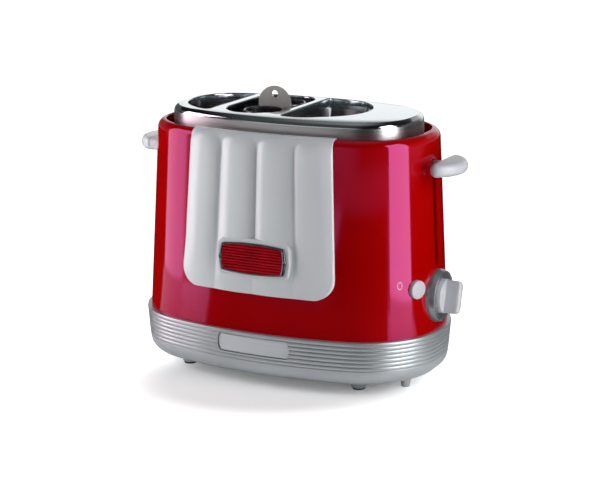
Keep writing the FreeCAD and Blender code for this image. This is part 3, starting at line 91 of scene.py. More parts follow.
# Badge and nameplate
BADGE_Z, BADGE_WIDTH, BADGE_HEIGHT, BADGE_BOW, BADGE_CORNER_R = 100.5, 57.0, 24.4, 1.7, 2.2
BADGE_RIM, RIM_SIDE, PAD_TOP, BADGE_THICK = 1.5, 1.7, 3.8, 2.0
RIB_PITCH, RIB_HEIGHT = 2.15, 1.1
TAB_R, TAB_INSET = 2.2, 1.5
NAME_LOW_Z, NAME_HIGH_Z, NAME_HALF, NAME_BOW = 25.6, 39.2, 28.4, 2.0
NAME_SUNK, NAME_GAP = 0.9, 0.35

# Steel cap
CAP_WALL, CAP_EDGE_R, CAP_CROWN, CROWN_OFFSET, CAP_SHEET = 20.5, 5.5, 1.2, 33.0, 1.0
BEVEL_OFFSET, BEVEL_DROP = 24.0, 5.8
BEVEL_BEND, BRUSHED_BELOW = 0.55, 0.75    # shares of the bevel's drop
CUT_REACH = 6    # how far the cutters go past the deck, up and down
CAVITY_X = -23.0
BUNS = ((-31.5, -68.0, 42.0), (29.8, 83.0, 45.0))    # straight side, far side, radius
BUN_CORNER_R = 4.0
CENTRE_HALF_X, CENTRE_HALF_Y, CENTRE_CORNER_R = 24.0, 44.0, 20.0
FLANGE_DEPTH, LIP_R = 8.0, 0.9

# Dial and button
DIAL_Z, BEZEL_R, BEZEL_FACE_X, BEZEL_SEAT_R = 68.6, 20.6, 125.0, 14.2
BEZEL_BORE_R, BEZEL_SEAT_DEPTH, BEZEL_SUNK, BEZEL_BACK_X = 7.6, 3.6, 0.9, HALF_LENGTH - 9
MARK_R, MARK_SIZE, MARK_COUNT, MARK_SPAN, MARK_RAISE = 16.3, 2.5, 7, 240.0, 0.06
KNOB_R, KNOB_END_X, GRIP_WIDTH, GRIP_HEIGHT, GRIP_TURN = 13.6, 139.0, 7.6, 25.4, -16.0
GRIP_EDGE_R, GRIP_ROUND = 2.2, 4.2
BUTTON_TURN, BUTTON_Z, BUTTON_R, BUTTON_PROUD = -23.0, 79.6, 7.2, 3.0
RING_TURN, RING_Z, RING_WIDE, RING_HIGH, RING_LINE, RING_STEPS = -37.6, 84.5, 1.7, 2.5, 0.55, 48

# Lever and left handle
LEVER_LOW_Z, LEVER_HIGH_Z = 164.5, 175.0
PADDLE_R, PADDLE_BACK, PADDLE_TIP_R, PADDLE_EDGE_R = 27.6, 20.2, 4.9, 4.6
LEVER_REACH, HANDLE_REACH, HANDLE_NECK = 140.19, 136.8, 47.4

# Camera of the photograph, in the frame's own axes
CAMERA_AT = (615.97, -1232.55, 438.30)
CAMERA_AZIMUTH, CAMERA_ELEVATION = 26.47, 14.03
FOCAL_PIXELS, IMAGE_WIDTH = 1797.9, 600

# Softboxes as (corner on the floor, far corner, height, lift), and their light as (power, colour)
RIGHT_BOX, RIGHT_LIGHT = ((449, -206), (401, 21), 560, 3), (1.7, (1.0, 0.97, 0.98))
LEFT_BOX, LEFT_LIGHT = ((-374, -408), (-518, -96), 560, 3), (2.5, (1.0, 0.98, 0.99))

# What the red wall mirrors: a card near each softbox and the glowing floor before it. Each is a name, the
# places on the wall and on the card of one edge and of the other, the card's foot, the colour, the card's
# strength and the floor's.
STRIPS = (("left", (-71, -66), (-414, -320), (-87, -59), (-518, -96), 3, (1, 0.80, 0.88), 3.1, 1.3),
          ("right", (101, -48), (449, -206), (112, -33), (401, 21), 20, (1, 1, 1), 4.2, 1.8))
STRIP_TOP, GLOW_Z, GLOW_START, GLOW_END, GLOW_SHARE = 563, 2, 0.1, 1.4, 0.4

# Cards on the floor as (first azimuth, last azimuth, near edge): black ones, and one that glows at a strength
FLAGS = ((-270, -172, 170), (-131, -60, 210), (-60, -28, 170), (6, 90, 170))
FRONT_CARD = (-131, -88, 560, 0.9)
CARD_REACH, CARD_STEPS, FLAG_Z, FRONT_CARD_Z = 2600, 12, 1.0, 3.0
GLOW_NEAR, GLOW_FAR = 170, 400    # distances between which a glow rises to its full strength

# World as reflections see it: its level by height, and shares of it by side as (axis, from, to, share,
# share). Then the soft light for everything else, which is stronger from behind.
SKY_STOPS = ((0.0, 1.0), (0.34, 1.0), (0.46, 0.10), (0.88, 0.12), (1.0, 0.5))
SKY_SIDES = (("X", -0.1, 0.4, 1.0, 0.08), ("X", -0.66, -0.52, 0.08, 1.0), ("Y", -0.1, 0.5, 0.45, 1.0))
SOFT_COLOUR, SOFT_SPAN = (0.93, 0.97, 1.0, 1), (0.0, 0.8, 0.11, 0.75)

# Floor: half its size, and the oval round the object outside which the camera sees it white; inside it the
# floor's glow falls off towards the object, a painted shadow on top of the floor's real one
FLOOR_HALF = 12000
PAINTED_SHADOW_AT, PAINTED_SHADOW_SIZE, PAINTED_SHADOW_FADE = (0.008, -0.063, 0), (0.150, 0.105, 1), (0.5, 1.02, 0.15, 1.0)


# ---- Oval and profiles --------------------------------------------------------------------------------

def corner_centre():
    """Centre of the corner arc that is tangent to the long side's arc and to the end's arc."""
    from_side, from_end = SIDE_RADIUS - CORNER_RADIUS, END_RADIUS - CORNER_RADIUS
    span = math.hypot(END_X, SIDE_Y)
    along = (from_side ** 2 - from_end ** 2 + span ** 2) / (2 * span)
    across = math.sqrt(from_side ** 2 - along ** 2)
    ux, uy = END_X / span, -SIDE_Y / span
    return along * ux + across * uy, SIDE_Y + along * uy - across * ux


CORNER_X, CORNER_Y = corner_centre()
END_TURN = math.atan2(CORNER_Y, CORNER_X - HALF_LENGTH + END_RADIUS)
SIDE_TURN = math.atan2(CORNER_Y - HALF_DEPTH + SIDE_RADIUS, CORNER_X)


def stations():
    """Places round the oval, each as (arc centre x, y, outward x, y, radius)."""
    pi = math.pi
    arcs = [
        (END_X, 0, END_RADIUS, -END_TURN, END_TURN),
        (CORNER_X, CORNER_Y, CORNER_RADIUS, END_TURN, SIDE_TURN),
        (0, SIDE_Y, SIDE_RADIUS, SIDE_TURN, pi - SIDE_TURN),
        (-CORNER_X, CORNER_Y, CORNER_RADIUS, pi - SIDE_TURN, pi - END_TURN),
        (-END_X, 0, END_RADIUS, pi - END_TURN, pi + END_TURN),
        (-CORNER_X, -CORNER_Y, CORNER_RADIUS, pi + END_TURN, pi + SIDE_TURN),
        (0, -SIDE_Y, SIDE_RADIUS, pi + SIDE_TURN, 2 * pi - SIDE_TURN),
        (CORNER_X, -CORNER_Y, CORNER_RADIUS, 2 * pi - SIDE_TURN, 2 * pi - END_TURN),
    ]
    places = []
    for cx, cy, radius, start, end in arcs:
        count = math.ceil((end - start) * radius / ARC_STEP)
        for i in range(count):
            a = start + (end - start) * i / count
            places.append((cx, cy, math.cos(a), math.sin(a), radius))
    return places


def filleted(points, closed=False, steps=8):
    """The (u, v) points of a line through (u, v, fillet radius) points, its corners rounded."""
    line = []
    for i, (u, v, *radius) in enumerate(points):
        here = Vector((u, v))
        r = radius[0] if radius else 0
        if not r or (not closed and i in (0, len(points) - 1)):
            line.append(here)
            continue
        back = (Vector(points[i - 1][:2]) - here).normalized()
        ahead = (Vector(points[(i + 1) % len(points)][:2]) - here).normalized()
        half = back.angle(ahead) / 2
        centre = here + (back + ahead).normalized() * r / math.sin(half)
        first = here + back * r / math.tan(half) - centre
        last = here + ahead * r / math.tan(half) - centre
        start = math.atan2(first.y, first.x)
        turn = (math.atan2(last.y, last.x) - start + math.pi) % (2 * math.pi) - math.pi
        for k in range(steps + 1):
            a = start + turn * k / steps
            line.append(centre + Vector((math.cos(a), math.sin(a))) * r)
    return line


def arc(x, y, radius, start, end, steps):
    """Points (x, y) of an arc about a centre, from one angle to another."""
    angles = [start + (end - start) * i / steps for i in range(steps + 1)]
    return [(x + radius * math.cos(a), y + radius * math.sin(a)) for a in angles]


def quarter(steps=8):
    """Angles of a quarter turn."""
    return [math.pi / 2 * k / steps for k in range(steps + 1)]


def rounded_box(left, low, right, high, r, steps=8):
    """Closed outline of a rectangle with rounded corners."""
    return filleted([(left, low, r), (right, low, r), (right, high, r), (left, high, r)], True, steps)


def side_y(x, offset=0.0):
    """Depth of the long side's arc at x, as a positive number."""
    return math.sqrt((SIDE_RADIUS + offset) ** 2 - x ** 2) - SIDE_RADIUS + HALF_DEPTH


def wall_offset(z, proud=0.0):
    """Offset of the shell's leaning wall at a height."""
    return proud - WALL_SLOPE * (z - SEAM_Z)


def front_place(x, level, rise):
    """Point over x on the front side, above a level given as (offset, z, normal outwards, normal upwards)."""
    offset, z, out, up = level
    return Vector((x, -side_y(x, offset + out * rise), z + up * rise))


# ---- Meshes -------------------------------------------------------------------------------------------

# A face left by a cut lies this near to its old face, in millimetres, and faces its way by this cosine
SAME_GAP, SAME_TURN = 0.05, 0.98


def axes_at(at, x, y, z):
    """Placement at a point whose local axes are x, y and z."""
    return Matrix.Translation(at) @ Matrix((x, y, z)).transposed().to_4x4()


def grid(rows, wrap=False, closed=False):
    """Vertices and quads of rows of points; wrap joins last row and first, closed each row's two ends."""
    width, count = len(rows[0]), len(rows)
    faces = []
    for i in range(count if wrap else count - 1):
        for j in range(width if closed else width - 1):
            k, m = (i + 1) % count, (j + 1) % width
            faces.append((i * width + j, i * width + m, k * width + m, k * width + j))
    return [p for row in rows for p in row], faces


def turned(profile):
    """A profile of (offset, height) points turned round the oval."""
    rows = [[Vector((cx + ux * (r + o), cy + uy * (r + o), z)) for o, z in profile]
            for cx, cy, ux, uy, r in stations()]
    return grid(rows, True, True)


def lathe(profile, place, steps=96):
    """A profile of (radius, height) points turned about the local Z axis of a placement."""
    rows = []
    for i in range(steps):
        a = 2 * math.pi * i / steps
        rows.append([place @ Vector((r * math.cos(a), r * math.sin(a), h)) for r, h in profile])
    return grid(rows, True)


def stacked(rings, place=Matrix()):
    """Closed body through rings, each a list of (x, y, z) points, with its first and last ring filled."""
    verts, faces = grid([[place @ Vector(p) for p in ring] for ring in rings], False, True)
    count = len(rings[0])
    faces.append(tuple(range(count)))
    faces.append(tuple(range(len(verts) - count, len(verts))))
    return verts, faces


def joined(*shapes):
    """Several (vertices, faces) in one."""
    verts, faces = [], []
    for more, quads in shapes:
        faces += [tuple(i + len(verts) for i in q) for q in quads]
        verts += more
    return verts, faces


def mesh_of(name, shape, sharp=38):
    """Mesh of (vertices, faces) in millimetres, smooth but for edges sharper than an angle in degrees."""
    verts, faces = shape
    mesh = bpy.data.meshes.new(name)
    mesh.from_pydata([v * MM for v in verts], [], faces)
    work = bmesh.new()
    work.from_mesh(mesh)
    bmesh.ops.remove_doubles(work, verts=work.verts, dist=1e-7)
    bmesh.ops.dissolve_degenerate(work, edges=work.edges, dist=1e-8)
    bmesh.ops.recalc_face_normals(work, faces=work.faces)
    work.to_mesh(mesh)
    work.free()
    mesh.shade_smooth()
    mesh.set_sharp_from_angle(angle=math.radians(sharp))
    return mesh


def placed(name, data):
    """New object of some data, in the scene."""
    item = bpy.data.objects.new(name, data)
    scene.collection.objects.link(item)
    return item


def carved(mesh, cutters):
    """The mesh less the cutters; the faces that are left keep the smooth normals that they had."""
    body = placed(mesh.name, mesh)
    tools = []
    for shape in cutters:
        tool = placed("cutter", mesh_of("cutter", shape))
        tools.append(tool)
        cut = body.modifiers.new("cut", "BOOLEAN")
        cut.operation, cut.solver, cut.object = "DIFFERENCE", "EXACT", tool
    graph = bpy.context.evaluated_depsgraph_get()
    result = bpy.data.meshes.new_from_object(body.evaluated_get(graph))
    tree = BVHTree.FromPolygons([v.co for v in mesh.vertices], [p.vertices for p in mesh.polygons])
    before = [n.vector.copy() for n in mesh.corner_normals]
    normals = []
    result.shade_smooth()
    for face in result.polygons:
        _, _, index, gap = tree.find_nearest(face.center)
        old = mesh.polygons[index]
        kept = gap < SAME_GAP * MM and abs(face.normal.dot(old.normal)) > SAME_TURN
        ring = [mesh.vertices[i].co for i in old.vertices]
        for vertex in face.vertices:
            if kept:
                weights = poly_3d_calc(ring, result.vertices[vertex].co)
                normals.append(sum((before[k] * w for k, w in zip(old.loop_indices, weights)), Vector()))
            else:
                normals.append(face.normal.copy())
    result.normals_split_custom_set(normals)
    for item in tools + [body]:
        bpy.data.objects.remove(item)
    return result


def piece(name, mesh, body, slot, stands_for, finish=None):
    """Object of a mesh that rides on a body, with its slot's material or a finish of its own."""
    if not isinstance(mesh, bpy.types.Mesh):
        mesh = mesh_of(name, mesh)
    item = placed(name, mesh)
    mesh.materials.clear()
    mesh.materials.append(FINISHES[finish or slot])
    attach(item, body)
    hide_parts(*stands_for)


# ---- Materials ----------------------------------------------------------------------------------------

NOISE_SPAN = (0.3, 0.7)    # where nearly all of a noise's values lie


def nodes_of(name):
    material = bpy.data.materials.new(name)
    material.use_nodes = True
    tree = material.node_tree
    return material, tree, tree.nodes["Principled BSDF"]


def setting(node, **values):
    """Sets a node's inputs, by their names with underscores for the spaces."""
    for name, value in values.items():
        node.inputs[name.replace("_", " ")].default_value = value


def noise(tree, scale, detail=3.0):
    """Noise on the object's coordinates, which are in metres, scaled apart along the axes."""
    where, mapping = tree.nodes.new("ShaderNodeTexCoord"), tree.nodes.new("ShaderNodeMapping")
    texture = tree.nodes.new("ShaderNodeTexNoise")
    setting(mapping, Scale=scale)
    setting(texture, Scale=1.0, Detail=detail, Roughness=0.5)
    tree.links.new(where.outputs["Object"], mapping.inputs["Vector"])
    tree.links.new(mapping.outputs["Vector"], texture.inputs["Vector"])
    return texture.outputs["Fac"]


def mapped(tree, value, low, high, first, last, way="LINEAR"):
    """The span low..high of a value mapped to first..last."""
    span = tree.nodes.new("ShaderNodeMapRange")
    span.interpolation_type = way
    setting(span, From_Min=low, From_Max=high, To_Min=first, To_Max=last)
    tree.links.new(value, span.inputs["Value"])
    return span.outputs["Result"]


def combined(tree, operation, first, second):
    """Two values combined by a Math node."""
    node = tree.nodes.new("ShaderNodeMath")
    node.operation = operation
    tree.links.new(first, node.inputs[0])
    tree.links.new(second, node.inputs[1])
    return node.outputs[0]


def length_of(tree, vector):
    node = tree.nodes.new("ShaderNodeVectorMath")
    node.operation = "LENGTH"
    tree.links.new(vector, node.inputs[0])
    return node.outputs["Value"]


def blended(tree, value, first, second):
    """Colour between two colours by a noise value."""
    ramp = tree.nodes.new("ShaderNodeValToRGB")
    ramp.color_ramp.elements[0].position, ramp.color_ramp.elements[1].position = 0.35, 0.65
    ramp.color_ramp.elements[0].color = (*first, 1)
    ramp.color_ramp.elements[1].color = (*second, 1)
    tree.links.new(value, ramp.inputs["Fac"])
    return ramp.outputs["Color"]


def bumped(tree, shader, height, strength, distance):
    bump = tree.nodes.new("ShaderNodeBump")
    setting(bump, Strength=strength, Distance=distance * MM)
    tree.links.new(height, bump.inputs["Height"])
    tree.links.new(bump.outputs["Normal"], shader.inputs["Normal"])


def triple(scale):
    """Three scales, one for each axis, from three or from one."""
    return scale if isinstance(scale, tuple) else (scale,) * 3


def surface(name, colours, rough, metal=0.0, grain=60, bump=(0.1, 0.02), fine=None, **settings):
    """Material whose colour and roughness vary between two values with one noise, with a finer bump."""
    grain = triple(grain)
    fine = triple(fine or tuple(8 * g for g in grain))
    material, tree, shader = nodes_of(name)
    drift = noise(tree, grain)
    tree.links.new(blended(tree, drift, *colours), shader.inputs["Base Color"])
    tree.links.new(mapped(tree, drift, *NOISE_SPAN, *rough), shader.inputs["Roughness"])
    setting(shader, Metallic=metal, **settings)
    bumped(tree, shader, noise(tree, fine, 2.0), *bump)
    return material


def make_finishes():
    """Materials by name: those of the record's slots and a few that only the scene has."""
    made = {}

    def add(name, *values, **settings):
        made[name] = surface(name, *values, **settings)

    add("red_gloss", ((0.345, 0.0, 0.0), (0.375, 0.001, 0.001)), (0.07, 0.10), grain=14, fine=420,
        bump=(0.05, 0.01), Specular_Tint=(1.0, 0.24, 0.78, 1), Specular_IOR_Level=1.0)
    add("white_gloss", ((0.66, 0.69, 0.71), (0.69, 0.72, 0.74)), (0.16, 0.22), grain=12, fine=500,
        bump=(0.05, 0.01), Subsurface_Weight=0.15, Subsurface_Scale=0.004)
    # Darker copy of the white plastic for the lever, knob and button: painted shade that tones them down
    # under the lights
    add("white_plastic_shaded", ((0.48, 0.50, 0.53), (0.52, 0.54, 0.57)), (0.28, 0.36), grain=12, fine=500,
        bump=(0.05, 0.01), Subsurface_Weight=0.2, Subsurface_Scale=0.004)
    add("bezel_silver", ((0.30, 0.33, 0.36), (0.36, 0.39, 0.42)), (0.30, 0.38), metal=0.8, grain=25, fine=900,
        bump=(0.02, 0.01))
    add("mark_ink", ((0.02, 0.02, 0.025), (0.03, 0.03, 0.035)), (0.4, 0.5), grain=300)
    add("mark_pale", ((0.62, 0.48, 0.50), (0.70, 0.56, 0.58)), (0.35, 0.45), grain=300)
    add("tube_steel", ((0.26, 0.26, 0.27), (0.33, 0.33, 0.34)), (0.20, 0.28), grain=(40, 40, 700),
        fine=(60, 60, 2500), bump=(0.08, 0.02), metal=1.0)
    add("silver_plastic", ((0.48, 0.52, 0.54), (0.54, 0.58, 0.60)), (0.34, 0.40), metal=0.75, grain=25,
        fine=900, bump=(0.02, 0.01))
    add("deck_steel", ((0.76, 0.82, 0.84), (0.82, 0.88, 0.90)), (0.08, 0.12), grain=(20, 500, 20),
        fine=(40, 1500, 40), bump=(0.04, 0.01), metal=1.0)
    add("brushed_wall", ((0.54, 0.53, 0.53), (0.66, 0.65, 0.65)), (0.36, 0.46), metal=1.0, grain=(6, 6, 1500),
        fine=(14, 14, 4200), bump=(0.08, 0.02), Anisotropic=0.8, Anisotropic_Rotation=0.25)
    # Polished steel with a dark colour: painted shade for the chutes deep inside the bun openings
    add("polished_steel", ((0.24, 0.24, 0.25), (0.32, 0.32, 0.33)), (0.28, 0.36), grain=(40, 40, 400),
        fine=(60, 60, 1200), bump=(0.02, 0.01), metal=1.0)
    add("tab_steel", ((0.40, 0.39, 0.37), (0.46, 0.45, 0.43)), (0.42, 0.52), metal=0.25, grain=80,
        bump=(0.08, 0.02))
    add("sheet_steel", ((0.36, 0.36, 0.36), (0.46, 0.46, 0.46)), (0.28, 0.42), grain=25, bump=(0.1, 0.02),
        metal=1.0)
    add("zinc_steel", ((0.42, 0.43, 0.45), (0.52, 0.53, 0.54)), (0.32, 0.5), grain=90, bump=(0.12, 0.02),
        metal=1.0)
    add("screw_steel", ((0.40, 0.40, 0.41), (0.50, 0.50, 0.50)), (0.25, 0.4), grain=200, bump=(0.1, 0.02),
        metal=1.0)
    add("wire_chrome", ((0.50, 0.50, 0.50), (0.60, 0.60, 0.60)), (0.12, 0.25), grain=120, bump=(0.06, 0.01),
        metal=1.0)
    add("chrome", ((0.17, 0.17, 0.19), (0.23, 0.23, 0.25)), (0.16, 0.24), grain=40, bump=(0.03, 0.01),
        metal=1.0)
    add("nameplate_metal", ((0.57, 0.61, 0.64), (0.64, 0.68, 0.71)), (0.30, 0.40), metal=0.3,
        grain=(15, 15, 1800), fine=(20, 20, 5000), bump=(0.1, 0.01))
    add("badge_red", ((0.30, 0.0, 0.003), (0.38, 0.001, 0.006)), (0.10, 0.16), grain=60, bump=(0.05, 0.01),
        Coat_Weight=0.15, Coat_Roughness=0.08, Specular_Tint=(1.0, 0.2, 0.45, 1))
    add("mica", ((0.34, 0.28, 0.20), (0.50, 0.43, 0.33)), (0.3, 0.5), grain=90)
    add("heating_ribbon", ((0.22, 0.20, 0.19), (0.32, 0.29, 0.27)), (0.4, 0.55), metal=1.0, grain=300)
    add("rubber", ((0.03, 0.03, 0.03), (0.05, 0.05, 0.05)), (0.6, 0.8), grain=300, bump=(0.3, 0.05))
    add("dark_plastic", ((0.03, 0.03, 0.032), (0.05, 0.05, 0.052)), (0.35, 0.5), grain=250, bump=(0.2, 0.03))
    add("terminal_white", ((0.66, 0.65, 0.60), (0.74, 0.73, 0.69)), (0.4, 0.5), grain=150)
    add("circuit_board", ((0.02, 0.10, 0.05), (0.03, 0.16, 0.07)), (0.35, 0.5), grain=200, Coat_Weight=0.3)
    add("coil_copper", ((0.50, 0.20, 0.07), (0.65, 0.30, 0.12)), (0.25, 0.4), metal=1.0, grain=(30, 30, 1500),
        bump=(0.3, 0.1))
    return made


FINISHES = make_finishes()


# ---- Shell and base -----------------------------------------------------------------------------------

def wall_frame(turn, z):
    """Placement on the shell's front right corner: X round the wall, Y up it, Z straight out of it."""
    a = math.radians(turn)
    out = Vector((math.cos(a), math.sin(a), 0))
    side = -1 if turn < 0 else 1
    at = Vector((CORNER_X, side * CORNER_Y, 0)) + out * (CORNER_RADIUS + wall_offset(z))
    at.z = z
    return axes_at(at, Vector((-out.y, out.x, 0)), Vector((0, 0, 1)), out)


def make_shell():
    top_in = wall_offset(LEDGE_Z - SHELL_WALL, -SHELL_WALL)
    profile = filleted([
        (0, SEAM_Z), (-SHELL_DRAFT, RIM_Z, SHOULDER_R), (-RIM_INNER, RIM_Z, RIM_EDGE),
        (-RIM_INNER - 0.2, LEDGE_Z, 0.8), (-LEDGE_INNER, LEDGE_Z), (-LEDGE_INNER, LEDGE_Z - SHELL_WALL),
        (top_in, LEDGE_Z - SHELL_WALL, 3.0), (-SHELL_WALL, SEAM_Z),
    ])
    half, r = SLOT_WIDTH / 2, SLOT_WIDTH / 2 - 0.1
    slot = rounded_box(-half, SLOT_LOW_Z, half, SLOT_HIGH_Z, r)
    slot_cut = stacked([[(x, y, z) for y, z in slot] for x in (HALF_LENGTH - 30, HALF_LENGTH + 10)])
    hole_r = BUTTON_R + 0.3
    hole = lathe([(0, -20), (hole_r, -20), (hole_r, 20), (0, 20)], wall_frame(BUTTON_TURN, BUTTON_Z))
    mesh = carved(mesh_of("shell_body", turned(profile)), [slot_cut, hole])
    piece("shell_body", mesh, "housing", "red_gloss", ["shell"])


def make_base():
    points = [(-BASE_TUCK, FLOOR_Z, 1.0), (0.3, FLOOR_Z + 2.4, 10.0), (BASE_BULGE, RIB_Z, 0.3)]
    pitch = (SEAM_Z - RIB_Z) / RIB_COUNT
    for i in range(RIB_COUNT):
        crest = BASE_BULGE + (BASE_LIP - BASE_BULGE) * (i + 1) / RIB_COUNT
        for k in range(RIB_STEPS):
            a = math.pi * k / RIB_STEPS
            depth = RIB_DEPTH * (1 - math.sin(a) ** RIB_SHAPE)
            points.append((crest - depth, RIB_Z + pitch * (i + (1 - math.cos(a)) / 2)))
    points.append((BASE_LIP - 0.3, SEAM_Z - 0.1))
    inner = -BASE_WALL - 2.0
    points += [(inner, SEAM_Z), (inner, FLOOR_Z + BASE_WALL + 6), (-BASE_TUCK - 12, FLOOR_Z + BASE_WALL),
               (-BASE_TUCK - 12, FLOOR_Z)]
    profile = filleted(points, steps=4)
    body = mesh_of("base_skirt", turned(profile))
    lo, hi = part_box("crumb_tray_front")
    gap = CRUMB_GAP
    slot = [(lo.x / MM - gap, lo.z / MM - gap), (hi.x / MM + gap, lo.z / MM - gap),
            (hi.x / MM + gap, hi.z / MM + gap), (lo.x / MM - gap, hi.z / MM + gap)]
    crumb = stacked([[(x, y, z) for x, z in slot] for y in (30, 100)])
    pocket = nameplate(NAME_GAP, 8.0, -0.4)
    piece("base_skirt", carved(body, [crumb, pocket]), "housing", "silver_plastic", ["base"])


def make_feet():
    shapes = []
    for x, y, top_r, end_r, end_z in FEET:
        profile = filleted([(0, end_z), (end_r, end_z, 1.2), (top_r, FLOOR_Z + 2.5), (0, FLOOR_Z + 2.5)])
        for sx in (-1, 1):
            for sy in (-1, 1):
                shapes.append(lathe(profile, Matrix.Translation((sx * x, sy * y, 0)), 48))
    piece("feet", joined(*shapes), "housing", "silver_plastic", ["base"])


# ---- Front panel, badge and nameplate -----------------------------------------------------------------

def spread(low, high, count, edge):
    """Values from low to high that lie close together within an edge's width of both ends."""
    near = [edge * share for share in (0, 0.04, 0.15, 0.35, 0.65, 1.0)]
    inner = [low + edge + (high - low - 2 * edge) * i / count for i in range(1, count)]
    return [low + e for e in near] + inner + [high - e for e in reversed(near)]


def edge_drop(inside, radius):
    """How far a rounded edge lies below its surface, a distance inside the outline."""
    return radius - math.sqrt(max(0.0, radius ** 2 - max(0.0, radius - inside) ** 2))


def plate(levels, half_width, height, place, back, edge, columns):
    """Closed plate; its rows follow levels, each (distance along, level), and place() gives its points."""
    length = levels[-1][0]
    front, rear = [], []
    for along, level in levels:
        half = half_width(level)
        xs = spread(-half, half, columns, edge)
        row = []
        for x in xs:
            inside = min(half - abs(x), along, length - along)
            row.append(place(x, level, height(x, level) - edge_drop(inside, edge)))
        front.append(row)
        rear.append([place(x, level, back) for x in xs])
    width, count = len(front[0]), len(front)
    verts, faces = joined(grid(front), grid(rear))
    size = width * count
    border = (list(range(width)) + [i * width + width - 1 for i in range(1, count)]
              + [(count - 1) * width + j for j in range(width - 2, -1, -1)]
              + [i * width for i in range(count - 2, 0, -1)])
    for a, b in zip(border, border[1:] + border[:1]):
        faces.append((a, b, b + size, a + size))
    return verts, faces


def panel_levels():
    """Levels up the shell's wall, round its shoulder and in over its rim, as (distance, level)."""
    line = filleted([(wall_offset(PANEL_LOW_Z), PANEL_LOW_Z), (-SHELL_DRAFT, RIM_Z, SHOULDER_R),
                     (-RIM_INNER, RIM_Z)], steps=12)
    start, top = line[0], line[1]
    length = (top - start).length
    fine = [start + (top - start) * (s / length) for s in spread(0, length, PANEL_ROWS, PANEL_EDGE)[:-6]]
    line = fine + line[1:-1] + [line[-1] + Vector((e, 0)) for e in (0.8, 0.3, 0.1, 0)]
    levels, along = [], 0.0
    for i, p in enumerate(line):
        before, after = line[max(i - 1, 0)], line[min(i + 1, len(line) - 1)]
        step = (after - before).normalized()
        if i:
            along += (p - line[i - 1]).length
        levels.append((along, (p.x, p.y, step.y, -step.x)))
    return levels


def panel_half(level):
    """Half width of the panel at a level, with its two rounded lower corners."""
    z = level[1]
    share = (z - PANEL_LOW_Z) / (RIM_Z - PANEL_LOW_Z)
    half = PANEL_HALF_LOW + (PANEL_HALF_TOP - PANEL_HALF_LOW) * share
    r = PANEL_CORNER_R
    if z < PANEL_LOW_Z + r:
        half -= r - math.sqrt(max(0.0, r ** 2 - (PANEL_LOW_Z + r - z) ** 2))
    return half


def panel_rise(x, level):
    """Height of the panel's face above the shell: four lobes with arched heads, between fading valleys."""
    z = level[1]
    share = (z - PANEL_LOW_Z) / (RIM_Z - PANEL_LOW_Z)
    pitch = LOBE_PITCH_LOW + (LOBE_PITCH_TOP - LOBE_PITCH_LOW) * share
    place = abs(x) % pitch / pitch * 2 - 1
    head = max(0.0, (z - LOBE_HEAD_Z) / LOBE_HEAD)
    across = math.sqrt(place ** 2 + VALLEY_SOFT)
    keep = min(1.0, max(0.0, (z - FADE_LOW_Z) / (FADE_HIGH_Z - FADE_LOW_Z)))
    keep = FADE_KEEP + (1 - FADE_KEEP) * keep * keep * (3 - 2 * keep)
    return PANEL_PROUD + LOBE_RISE * max(0.0, 1 - keep * across ** LOBE_POWER - head ** HEAD_POWER)


def make_panel():
    shape = plate(panel_levels(), panel_half, panel_rise, front_place, -PANEL_SINK, PANEL_EDGE,
                  PANEL_COLUMNS)
    piece("front_panel_lobed", shape, "housing", "white_gloss", ["front_panel"])


def badge_place():
    """Placement on the leaning front wall at the badge: X along it, Y up it, Z out of it."""
    out = Vector((0, -math.cos(WALL_TILT), math.sin(WALL_TILT)))
    up = Vector((0, math.sin(WALL_TILT), math.cos(WALL_TILT)))
    at = Vector((0, -side_y(0, wall_offset(BADGE_Z)), BADGE_Z))
    return axes_at(at, Vector((1, 0, 0)), up, out)


def bowed(grow):
    """Outline of the badge grown by a distance: four bowed sides, whose rim is wider at the two ends."""
    w = BADGE_WIDTH / 2 + grow * (RIM_SIDE if grow < 0 else 1) - BADGE_BOW
    h = BADGE_HEIGHT / 2 + grow - BADGE_BOW
    r = BADGE_CORNER_R + max(grow, -1.5)
    line = []
    sides = [((-w, -h), (w, -h), (0, -BADGE_BOW), 14), ((w, -h), (w, h), (0.8 * BADGE_BOW, 0), 4),
             ((w, h), (-w, h), (0, BADGE_BOW), 14), ((-w, h), (-w, -h), (-0.8 * BADGE_BOW, 0), 4)]
    for start, end, bow, count in sides:
        line.append((*start, r))
        for i in range(1, count):
            t = i / count
            lift = 4 * t * (1 - t)
            line.append((start[0] + (end[0] - start[0]) * t + bow[0] * lift,
                         start[1] + (end[1] - start[1]) * t + bow[1] * lift))
    return filleted(line, True, 8)


def half_at(line, v):
    """Largest u at which a closed outline crosses a level v."""
    best = 0.0
    for a, b in zip(line, line[1:] + line[:1]):
        if (a.y - v) * (b.y - v) <= 0 and a.y != b.y:
            best = max(best, a.x + (b.x - a.x) * (v - a.y) / (b.y - a.y))
    return best


